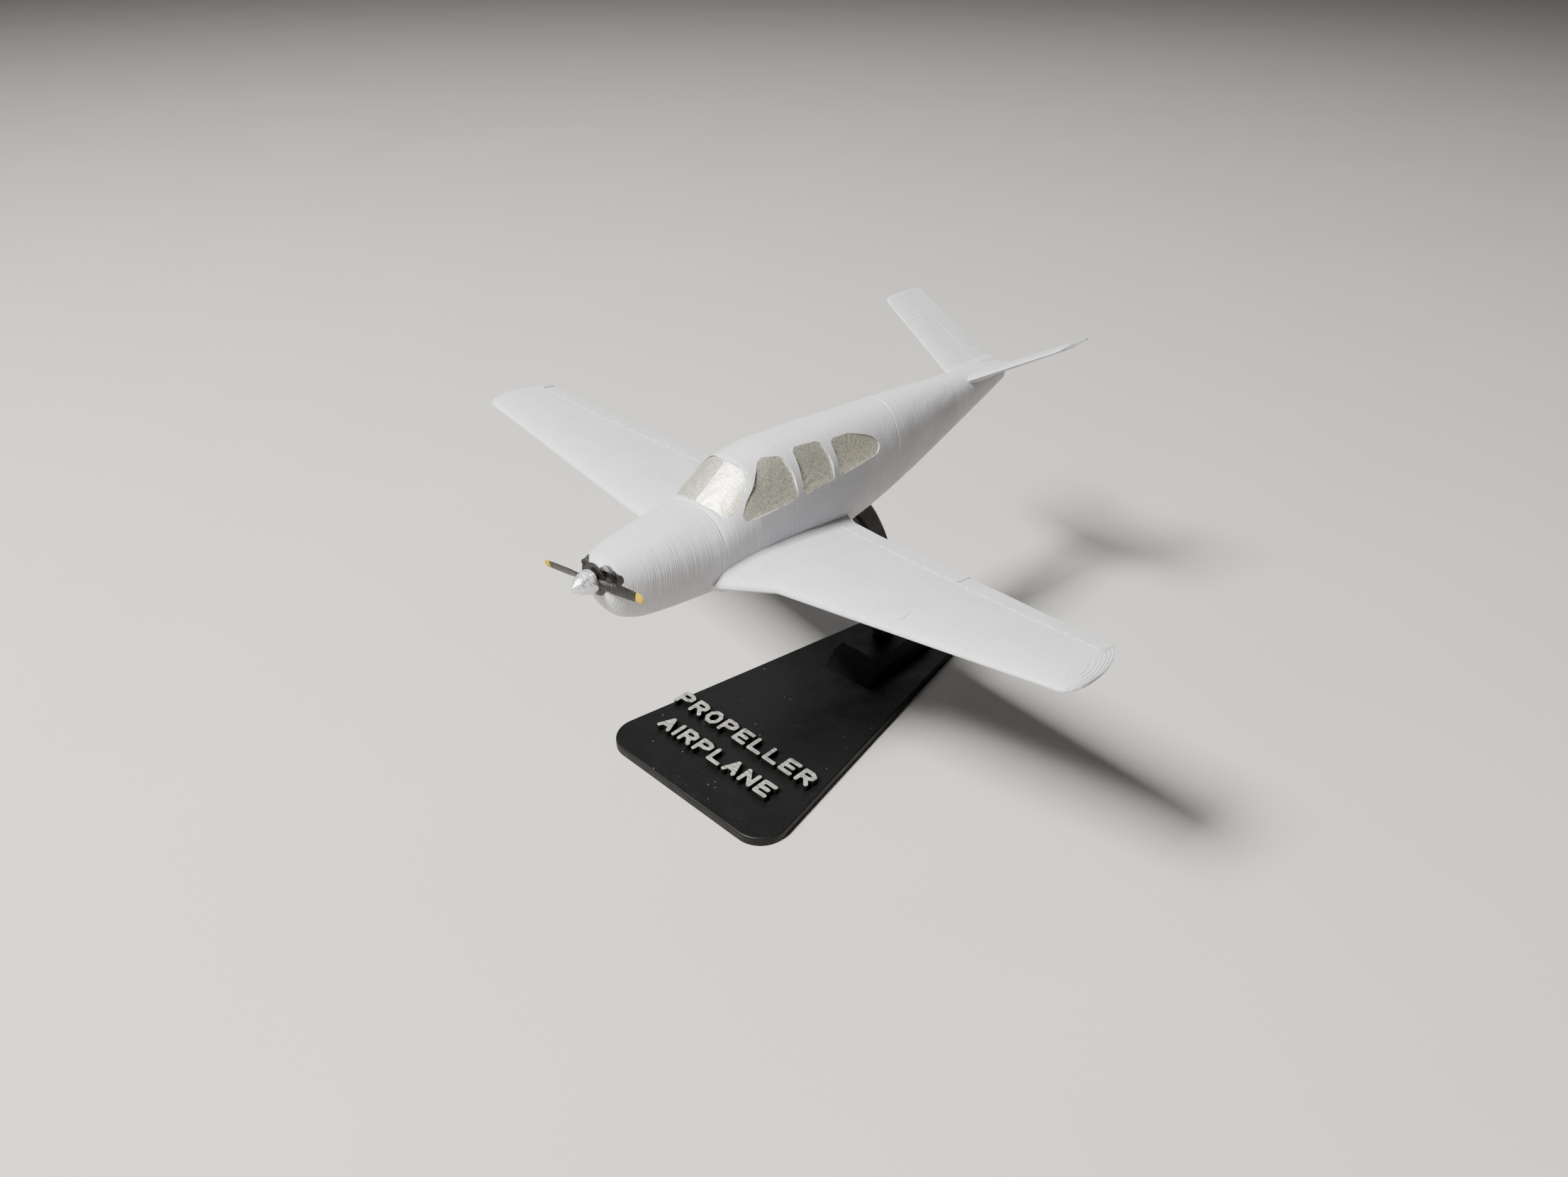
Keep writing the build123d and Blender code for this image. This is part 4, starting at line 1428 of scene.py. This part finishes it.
# ---------------------------------------------------------------- nose
@dataclass
class Nose:
    """Spinner, two-blade propeller with painted tips, and the dark ring behind them."""

    thrust_z: float = 7.2
    ring_radius: float = 2.9
    ring_front: float = -43.4
    ring_back: float = -42.95
    hub_radius: float = 1.9
    hub_back: float = -43.5
    hub_front: float = -44.1
    spinner_radius: float = 2.15
    spinner_tip: float = -48.2
    blade_y: float = -43.8
    blade_radius: float = 13.3
    tip_length: float = 1.7
    angle_deg: float = 9.5
    around: int = 120

    def turned(self, radius: Array, y: Array, wobble: float, seed: int) -> Shell:
        """A solid of revolution about the thrust line.

        Formula: each profile point's radius goes round the line, times one plus a seeded ripple.

        Args:
            radius: The profile's radii from front to back.
            y: The profile's distances aft.
            wobble: Height of the ripple as a share of the radius.
            seed: Seed of the ripple.

        Returns:
            The shell in the aeroplane's frame.
        """
        turn = np.linspace(0, 2 * math.pi, self.around, endpoint=False)
        ring = np.stack([np.cos(turn), np.sin(turn)], -1)
        place = np.concatenate([np.broadcast_to(ring, (len(y), *ring.shape)) * radius[:, None, None],
                                np.broadcast_to(y[:, None, None], (len(y), self.around, 1))], -1)
        reach = radius[:, None] * (1 + wobble * ripple(place, 1.1, seed))
        x, z = reach * ring[:, 0], self.thrust_z + reach * ring[:, 1]
        first, last = (np.array([0, end, self.thrust_z]) for end in (y[0], y[-1]))
        return Shell.from_rings(np.stack([x, np.broadcast_to(y[:, None], x.shape), z], -1), first, last)

    def spinner_shell(self) -> Shell:
        """The spinner: a blunt cone whose coat is wrinkled in ridges round it and along it.

        Formula: the radius is the rim's times the square root of a blunt profile, with print rings
        a fifth of a millimetre apart and a seeded wrinkle added.
        """
        t = np.concatenate([[0.004, 0.015, 0.035], np.linspace(0.06, 1, 90)])
        length = self.hub_front - self.spinner_tip
        y = self.spinner_tip + length * t
        radius = self.spinner_radius * (1 - (1 - t) ** 1.9) ** 0.72
        radius = radius + 0.018 * np.sin(2 * math.pi * y / 0.4) * ease(t, 0.1, 0.3)
        rim = np.array([self.spinner_radius - 0.03, self.spinner_radius - 0.16])
        y = np.concatenate([y, [self.hub_front + 0.05, self.hub_front + 0.08]])
        return self.turned(np.concatenate([radius, rim]), y, 0.028, 61)

    def blade(self, first: float, last: float, swell: float) -> Shell:
        """Part of a blade, from one distance out to another.

        Formula: an ellipse at each distance, as wide as the chord there and a third as thick,
        turned from 26 degrees at the root to 10 at the tip, with the end rounded off.

        Args:
            first: Distance out at which the part starts.
            last: Distance out at which it ends.
            swell: How much thicker the coat of paint makes it.

        Returns:
            The shell of the left blade in the aeroplane's frame.
        """
        r = np.linspace(first, last, max(8, int((last - first) / 0.12)))
        chord = np.interp(r, [0.8, 3.0, 7.0, 11.0, 13.3], [1.25, 1.6, 1.9, 1.62, 1.25])
        rounded = np.sqrt(np.clip(1 - ((r - (self.blade_radius - 0.7)).clip(0) / 0.7) ** 2, 0.0004, 1))
        half = 0.5 * chord * rounded + swell
        thick = 0.5 * np.interp(r, [0.8, 4.0, 13.3], [0.62, 0.5, 0.36]) * rounded + swell
        twist = np.radians(np.interp(r, [0.8, 3.0, 13.3], [16.0, 26.0, 10.0]))
        turn = np.linspace(0, 2 * math.pi, 40, endpoint=False)
        across, deep = half[:, None] * np.cos(turn), thick[:, None] * np.sin(turn)
        lump = 1 + 0.04 * ripple(np.stack([r[:, None] + 0 * across, across, deep], -1), 1.2, 63)
        up = (across * np.cos(twist[:, None]) - deep * np.sin(twist[:, None])) * lump
        aft = (across * np.sin(twist[:, None]) + deep * np.cos(twist[:, None])) * lump
        return Shell.from_rings(np.stack([np.broadcast_to(r[:, None], up.shape), self.blade_y + aft, up], -1))

    def swung(self, shell: Shell, turn_deg: float) -> Shell:
        """A blade turned about the thrust line to its place."""
        cos, sin = math.cos(math.radians(turn_deg)), math.sin(math.radians(turn_deg))
        x, y, z = shell.points.T
        points = np.stack([x * cos - z * sin, y, self.thrust_z + x * sin + z * cos], -1)
        return Shell(points, shell.quads, shell.tris)

    def build(
        self, black: bpy.types.Material, yellow: bpy.types.Material, silver: bpy.types.Material
    ) -> None:
        """Makes and dresses the nose.

        Args:
            black: Paint of the ring and the propeller.
            yellow: Paint of the blades' tips.
            silver: Paint of the spinner.
        """
        turns = (self.angle_deg, self.angle_deg + 180)
        join = self.blade_radius - self.tip_length
        hub_r = self.hub_radius * np.array([0.9, 0.97, 1, 1, 0.97, 0.9])
        hub_y = np.array([self.hub_front, self.hub_front + 0.04, self.hub_front + 0.1, self.hub_back - 0.1,
                          self.hub_back - 0.04, self.hub_back])
        blades = [self.swung(self.blade(0.8, join, 0.0), turn) for turn in turns]
        shells = [FLIGHT.placed(s) for s in [self.turned(hub_r, hub_y, 0.01, 62), *blades]]
        dress(put_mesh("propeller_blades", shells), black, "propeller", ["propeller"])
        tip = self.blade(join - 0.05, self.blade_radius, 0.05)
        tips = [FLIGHT.placed(self.swung(tip, turn)) for turn in turns]
        dress(put_mesh("propeller_tip_paint", tips), yellow, "propeller", ["propeller_tips"])
        spinner = put_mesh("spinner_cone", [FLIGHT.placed(self.spinner_shell())])
        dress(spinner, silver, "propeller", ["spinner"])
        ring_r = self.ring_radius * np.array([0.94, 0.985, 1.0, 1.0, 1.01])
        ring_y = np.array([self.ring_front, self.ring_front + 0.04, self.ring_front + 0.12,
                           self.ring_back - 0.1, self.ring_back])
        ring = put_mesh("nose_ring_disc", [FLIGHT.placed(self.turned(ring_r, ring_y, 0.012, 64))])
        dress(ring, black, "aeroplane", ["nose_ring"])


# ---------------------------------------------------------------- stand
@dataclass
class Arm:
    """The curved arm: upright foot, long arc, and the straight plug that enters the belly."""

    width: float = 3.4
    thick: float = 4.5
    edge: float = 0.6
    back_y: float = 36.7
    back_radius: float = 52.0
    foot_z: float = 2.1
    bend_z: float = 13.9
    lean_deg: float = 38.0
    plug: float = 7.5
    plug_gap: float = 0.12

    def spine(self, step: float) -> tuple[Array, Array]:
        """Middle line of the arm as (y, z) points with its lean at each.

        Formula: straight up to the bend, then an arc whose angle grows with its length, then
        straight on along the lean.

        Args:
            step: Distance between points.

        Returns:
            Points, shape (n, 2), and leans in radians, shape (n,).
        """
        lean = math.radians(self.lean_deg)
        radius = self.back_radius - self.thick / 2
        y0 = self.back_y - self.thick / 2
        rise = np.arange(self.foot_z, self.bend_z, step)
        angle = np.arange(0, lean, step / radius)
        root = np.array([y0 - radius * (1 - math.cos(lean)), self.bend_z + radius * math.sin(lean)])
        along = np.linspace(0, self.plug, 20)[:, None]
        runs = [
            np.stack([np.full(len(rise), y0), rise], -1),
            np.stack([y0 - radius * (1 - np.cos(angle)), self.bend_z + radius * np.sin(angle)], -1),
            root + along * [-math.sin(lean), math.cos(lean)],
        ]
        leans = np.concatenate([0 * rise, angle, np.full(len(along), lean)])
        return np.concatenate(runs), leans

    def section(self, grow: float) -> Array:
        """The arm's section (along its thickness, across), a rectangle with broken edges."""
        a, b, e = self.thick / 2 + grow, self.width / 2 + grow, self.edge
        corners = [(a - e, -b), (a, -b + e), (a, b - e), (a - e, b)]
        corners += [(-u, -v) for u, v in corners]
        return rounded_outline(corners, 0.12, spacing=0.3, arc_steps=3)

    def carried(self, section: Array, spine: Array, leans: Array) -> Shell:
        """A section carried along the spine, square to it."""
        along = section[:, 0]
        y = spine[:, :1] + np.cos(leans)[:, None] * along
        z = spine[:, 1:] + np.sin(leans)[:, None] * along
        return Shell.from_rings(np.stack([np.broadcast_to(section[:, 1], y.shape), y, z], -1))

    def plug_pocket(self) -> Shell:
        """The space in the belly that the plug slides in."""
        spine, leans = self.spine(0.4)
        out = np.array([-math.sin(leans[-1]), math.cos(leans[-1])])
        ends = np.stack([spine[-1] - 2 * self.plug * out, spine[-1] + 0.1 * out])
        return self.carried(self.section(self.plug_gap), ends, leans[-2:])

    def socket(self, top_z: float) -> Shell:
        """The space in the block that the foot stands in."""
        spine = np.array([(self.back_y - self.thick / 2, z) for z in (self.foot_z - 0.1, top_z + 2)])
        return self.carried(self.section(0.06), spine, np.zeros(2))

    def build(self, plastic: bpy.types.Material) -> None:
        """Makes and dresses the arm."""
        spine, leans = self.spine(0.35)
        shell = self.carried(self.section(0.0), spine, leans)
        sway = 0.015 * ripple(shell.points, 5.0, 71)[:, None] * np.sign(shell.points * [1, 0, 0])
        piece = put_mesh("arm_print", [Shell(shell.points - sway, shell.quads, shell.tris)])
        dress(piece, plastic, "arm", ["arm"])


@dataclass
class Stand:
    """The tapered plate and the sloped block that holds the arm."""

    thick: float = 2.0
    front_y: float = -28.4
    rear_y: float = 55.0
    half_front: float = 24.4
    narrowing: float = 0.18
    corner: float = 6.0
    block_front: float = 22.0
    block_rear: float = 46.0
    block_top: float = 7.3
    block_half: float = 6.4
    block_half_top: float = 5.2
    shoulder: float = 5.4
    slope: float = 4.0
    layer: float = 0.2
    step_share: float = 0.3      # how much of each layer's step is left on the slopes

    def plate_shell(self) -> Shell:
        """The plate: its outline pulled in by a little at each height, as a print is.

        Formula: rings of the rounded outline, with a foot that bulges at the bed, a softened top
        edge, and grooves between the outer lines of the top layer.
        """
        rear = self.half_front - self.narrowing * (self.rear_y - self.front_y)
        corners = [(-self.half_front, self.front_y), (self.half_front, self.front_y),
                   (rear, self.rear_y), (-rear, self.rear_y)]
        # height and inset of each ring, up the wall and over the softened edge
        levels = [(0.0, 0.3), (0.0, 0.12), (0.08, 0.02), (0.2, 0.05), (0.4, 0.0), (0.6, 0.04),
                  (0.8, 0.0), (1.0, 0.04), (1.2, 0.0), (1.4, 0.04), (1.6, 0.01), (1.8, 0.06),
                  (1.92, 0.14), (1.98, 0.24), (2.0, 0.36)]
        for line in range(1, 5):
            middle = 0.42 * line + 0.04
            levels += [(1.975, middle), (2.0, middle + 0.1), (2.0, middle + 0.32)]
        levels += [(2.0, inset) for inset in (2.2, 3.0, 4.5, 5.8)]
        rings = []
        for z, inset in levels:
            outline = rounded_outline(corners, self.corner, inset, spacing=0.8, arc_steps=20)
            rings.append(np.concatenate([outline, np.full((len(outline), 1), z)], 1))
        stack = np.array(rings)
        centre = np.array([0, 12.0, self.thick])
        inner = [centre + share * (stack[-1] - centre) for share in (0.85, 0.7, 0.5, 0.3, 0.12)]
        return Shell.from_rings(np.concatenate([stack, np.array(inner)]))

    def block_shell(self) -> Shell:
        """The block: printed layers whose outline shrinks with height on its sloped faces.

        Formula: the faces' slopes give an outline at each height, drawn a set share of the way to
        the one at the middle of its layer, and a layer's three rings bulge a little at its middle.
        """
        heights, insets = [], []
        for low in np.arange(self.thick - self.layer, self.block_top - 0.01, self.layer):
            heights += [low + 0.01, low + self.layer / 2, low + self.layer - 0.01]
            insets += [0.012, 0.0, 0.012]
        rings = []
        for z, inset in zip(heights, insets):
            step = (math.floor((z - self.thick) / self.layer) + 0.5) * self.layer + self.thick
            middle = z + self.step_share * (step - z)
            rise = max(0.0, middle - self.thick) / (self.block_top - self.thick)
            over = max(0.0, (middle - self.shoulder) / (self.block_top - self.shoulder))
            half = self.block_half - (self.block_half - self.block_half_top) * over
            front, rear = self.block_front + self.slope * rise, self.block_rear - self.slope * rise
            corners = [(-half, front), (half, front), (half, rear), (-half, rear)]
            outline = rounded_outline(corners, 0.8, inset, steps=12, arc_steps=6)
            rings.append(np.concatenate([outline, np.full((len(outline), 1), min(z, self.block_top))], 1))
        crown = rings[-1]
        centre = np.array([0, (self.block_front + self.block_rear) / 2, self.block_top])
        level = crown * [1, 1, 0] + [0, 0, self.block_top]
        inner = [centre + share * (level - centre) for share in (0.985, 0.96, 0.9)]
        return Shell.from_rings(np.array(rings + inner))

    def build(self, arm: Arm, plastic: bpy.types.Material) -> None:
        """Makes and dresses the stand.

        Args:
            arm: The arm whose foot needs a socket.
            plastic: The stand's plastic.
        """
        plate = put_mesh("base_plate_print", [self.plate_shell()], sharp_deg=40.0)
        dress(plate, plastic, "stand", ["base_plate"])
        block = put_mesh("socket_block_print", [self.block_shell()], sharp_deg=40.0)
        cut_away(block, [arm.socket(self.block_top)], sharp_deg=40.0)
        dress(block, plastic, "stand", ["socket_block"])


BOWL = ((0, 1), (0.65, 1), (1, 0.85), (1, 0.62), (0.65, 0.47), (0, 0.47))
# capitals as strokes on a unit box, (across, up)
GLYPHS = {
    "A": [((0, 0), (0.5, 1), (1, 0)), ((0.2, 0.32), (0.8, 0.32))],
    "E": [((1, 1), (0, 1), (0, 0), (1, 0)), ((0, 0.5), (0.8, 0.5))],
    "I": [((0, 0), (0, 1))],
    "L": [((0, 1), (0, 0), (1, 0))],
    "N": [((0, 0), (0, 1), (1, 0), (1, 1))],
    "O": [((0.3, 0), (0, 0.3), (0, 0.7), (0.3, 1), (0.7, 1), (1, 0.7), (1, 0.3), (0.7, 0), (0.3, 0))],
    "P": [((0, 0), (0, 1)), BOWL],
    "R": [((0, 0), (0, 1)), BOWL, ((0.5, 0.47), (1, 0))],
}


@dataclass
class Title:
    """Two rows of raised generic capitals on the plate, their tops dry-brushed."""

    height: float = 3.2
    width: float = 2.7
    gap: float = 0.65
    stroke: float = 1.1
    rise: float = 1.4
    plate_top: float = 2.0
    centre_x: float = -0.8
    sink: float = 0.04
    melt_mm: float = 0.085       # grid step of the pass that melts strokes into one letter
    rows: tuple = (("title_back_row", "PROPELLER", -10.9), ("title_front_row", "AIRPLANE", -18.9))

    def capsule(self, start: tuple[float, float], end: tuple[float, float]) -> Shell:
        """One round-ended stroke.

        Formula: rings of a stadium outline up its height, whose radius eases in at the top.

        Args:
            start: One end of the stroke's middle line.
            end: The other end.

        Returns:
            The stroke's shell.
        """
        a, b = np.array(start), np.array(end)
        heading = math.atan2(b[1] - a[1], b[0] - a[0])
        half = np.linspace(-math.pi / 2, math.pi / 2, 17)
        turn = np.concatenate([heading + half, heading + half + math.pi])
        ends = np.concatenate([np.tile(b, (17, 1)), np.tile(a, (17, 1))])
        ray = np.stack([np.cos(turn), np.sin(turn)], -1)
        low, top = self.plate_top - self.sink, self.plate_top + self.rise
        heights = [low, low + 0.1, low + 0.2, top - 0.2, top - 0.08, top - 0.02, top]
        shrink = [0.0, 0.03, 0.0, 0.0, 0.03, 0.09, 0.2]
        rings = [
            np.concatenate([ends + (self.stroke / 2 - less) * ray, np.full((34, 1), z)], 1)
            for z, less in zip(heights, shrink)
        ]
        return Shell.from_rings(np.array(rings))

    def row_shells(self, text: str, bottom: float) -> list[Shell]:
        """Every stroke of a row of capitals.

        Args:
            text: The row's capitals.
            bottom: Height in plan of the capitals' lowest middle line.

        Returns:
            The strokes' shells.
        """
        widths = [self.width * max(u for stroke in GLYPHS[g] for u, _ in stroke) for g in text]
        left = self.centre_x - (sum(widths) + (self.stroke + self.gap) * (len(text) - 1)) / 2
        shells = []
        for glyph, width in zip(text, widths):
            for stroke in GLYPHS[glyph]:
                points = [(left + self.width * u, bottom + self.height * v) for u, v in stroke]
                shells += [self.capsule(a, b) for a, b in zip(points, points[1:])]
            left += width + self.stroke + self.gap
        return shells

    def build(self, plastic: bpy.types.Material) -> None:
        """Makes each row, melts its strokes together on a fine grid, and dresses it."""
        for node, text, bottom in self.rows:
            piece = put_mesh(node + "_letters", self.row_shells(text, bottom), unit=1.0)
            melt = piece.modifiers.new("melt", "REMESH")
            melt.mode, melt.voxel_size, melt.use_smooth_shade = "VOXEL", self.melt_mm, True
            relax = piece.modifiers.new("relax", "SMOOTH")
            relax.factor, relax.iterations = 0.5, 2
            finish_modifiers(piece, 60.0)
            piece.data.transform(Matrix.Scale(MM, 4))
            dress(piece, plastic, "stand", [node])


# ---------------------------------------------------------------- camera, light and floor
@dataclass(frozen=True)
class Studio:
    """Camera at the viewing angle, a pale floor, a soft box overhead, one fill and a dim sky."""

    camera_mm: tuple[float, float, float] = (133.303, -136.892, 160.933)
    azimuth_deg: float = 43.87
    elevation_deg: float = 33.16
    roll_deg: float = 0.25
    lens: float = 26.62
    sensor: float = 36.0

    def camera(self) -> None:
        """Makes the camera, looking along its azimuth and down by its elevation."""
        az, el, roll = (math.radians(a) for a in (self.azimuth_deg, self.elevation_deg, self.roll_deg))
        back = Vector((math.sin(az) * math.cos(el), -math.cos(az) * math.cos(el), math.sin(el)))
        right = (-back).cross(Vector((0, 0, 1))).normalized()
        up = right.cross(-back)
        right, up = (
            right * math.cos(roll) + up * math.sin(roll),
            up * math.cos(roll) - right * math.sin(roll),
        )
        data = bpy.data.cameras.new("view_camera")
        data.lens, data.sensor_width, data.sensor_fit = self.lens, self.sensor, "HORIZONTAL"
        data.clip_start, data.clip_end = 0.01, 20.0
        camera = bpy.data.objects.new("view_camera", data)
        place = Matrix((right, up, back)).transposed().to_4x4()
        place.translation = Vector(self.camera_mm) * MM
        camera.matrix_world = place
        bpy.context.scene.collection.objects.link(camera)
        bpy.context.scene.camera = camera

    def softbox(self, name: str, place: Vector, size: tuple[float, float], power: float, colour: str) -> None:
        """A rectangular light that looks at the model.

        Args:
            name: The light's name.
            place: Where it hangs, in metres.
            size: Its two sides, in metres.
            power: Watts.
            colour: Its sRGB colour.
        """
        data = bpy.data.lights.new(name, "AREA")
        data.shape, data.size, data.size_y, data.energy = "RECTANGLE", *size, power
        data.color = linear(colour)[:3]
        light = bpy.data.objects.new(name, data)
        aim = Vector((0, 0, 0.04)) - place
        light.rotation_euler = aim.to_track_quat("-Z", "Y").to_euler()
        light.location = place
        bpy.context.scene.collection.objects.link(light)

    def build(self) -> None:
        """Makes the camera, the lights, the sky and the floor."""
        self.camera()
        self.softbox("key_softbox", Vector((-0.10, -0.60, 0.80)), (0.22, 0.22), 47.0, "fffdf9")
        self.softbox("top_fill", Vector((-0.35, 0.45, 0.8)), (0.7, 0.7), 2.5, "f8f9ff")
        world = bpy.data.worlds.new("soft_room")
        bpy.context.scene.world = world
        world.use_nodes = True
        world.node_tree.nodes.clear()
        sky = add_node(world.node_tree, "ShaderNodeBackground", {"Color": linear("ecebee"), "Strength": 0.05})
        add_node(world.node_tree, "ShaderNodeOutputWorld", {"Surface": sky.outputs[0]})
        reach = 4000.0
        around = ((-1, -1), (1, -1), (1, 1), (-1, 1))
        corners = np.array([(reach * x, reach * y, -0.01) for x, y in around])
        floor = put_mesh("floor_card", [Shell(corners, np.array([[0, 1, 2, 3]]), np.zeros((0, 3), int))])
        floor.data.materials.append(FloorCard().material())


def main() -> None:
    """Builds every piece in order."""
    logging.basicConfig(level=logging.INFO, format="%(name)s: %(message)s")
    stains = ((2.6, -43.1, 9.3, 1.5), (3.6, -42.8, 8.6, 1.5), (4.3, -41.9, 8.2, 1.1))
    body_paint = BrushedPaint("brushed_acrylic_body", StrokeRun.ALONG_BODY, stains=stains,
                              layer_depth=0.022, layer_fade=(-22.0, -12.0)).material()
    wing_paint = BrushedPaint("brushed_acrylic_wing", StrokeRun.ALONG_SPAN, layer_depth=0.006,
                              bristle_depth=0.10).material()
    black_plastic = PrintedPlastic("satin_black_filament").material()
    title_plastic = PrintedPlastic("dry_brushed_filament", top="86867f").material()
    pane_silver = FlakePaint("brushed_aluminium_flake_paint").material()
    spinner_silver = FlakePaint(
        "thick_aluminium_paint", base="d2d3d8", glint="fbfcff", deep="a3a5ad", flake_mm=0.12,
        rough_low=0.2, rough_high=0.4, stroke=(0.35, 1.6, 0.35), depth=0.03,
    ).material()
    black_enamel = DabbedPaint("black_enamel", "0b0a09", "171411").material()
    yellow_enamel = DabbedPaint("yellow_enamel", "806a00", "977f00", roughness=0.5, specular=0.15).material()
    rod = DrawnRod("bare_filament_rod", "b9b7b0", "c9c7c1", 0.0, 0.5).material()
    steel = DrawnRod("drawn_steel_pin", "a8a8aa", "c4c4c6", 1.0, 0.3).material()

    body, arm = Fuselage(), Arm()
    body.build(arm, body_paint, pane_silver, black_enamel)
    for side in Side:
        Wing(side, body).build(wing_paint)
        TailHalf(side).build(wing_paint)
    Nose().build(black_enamel, yellow_enamel, spinner_silver)
    arm.build(black_plastic)
    Stand().build(arm, black_plastic)
    Title().build(title_plastic)
    for node, material in (("fuselage_dowels", rod), ("wing_pins", rod), ("prop_shaft", steel)):
        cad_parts[node].data.materials.clear()
        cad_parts[node].data.materials.append(material)
        log.info("%s keeps its own solid", node)
    Studio().build()


if __name__ == "__main__":
    main()
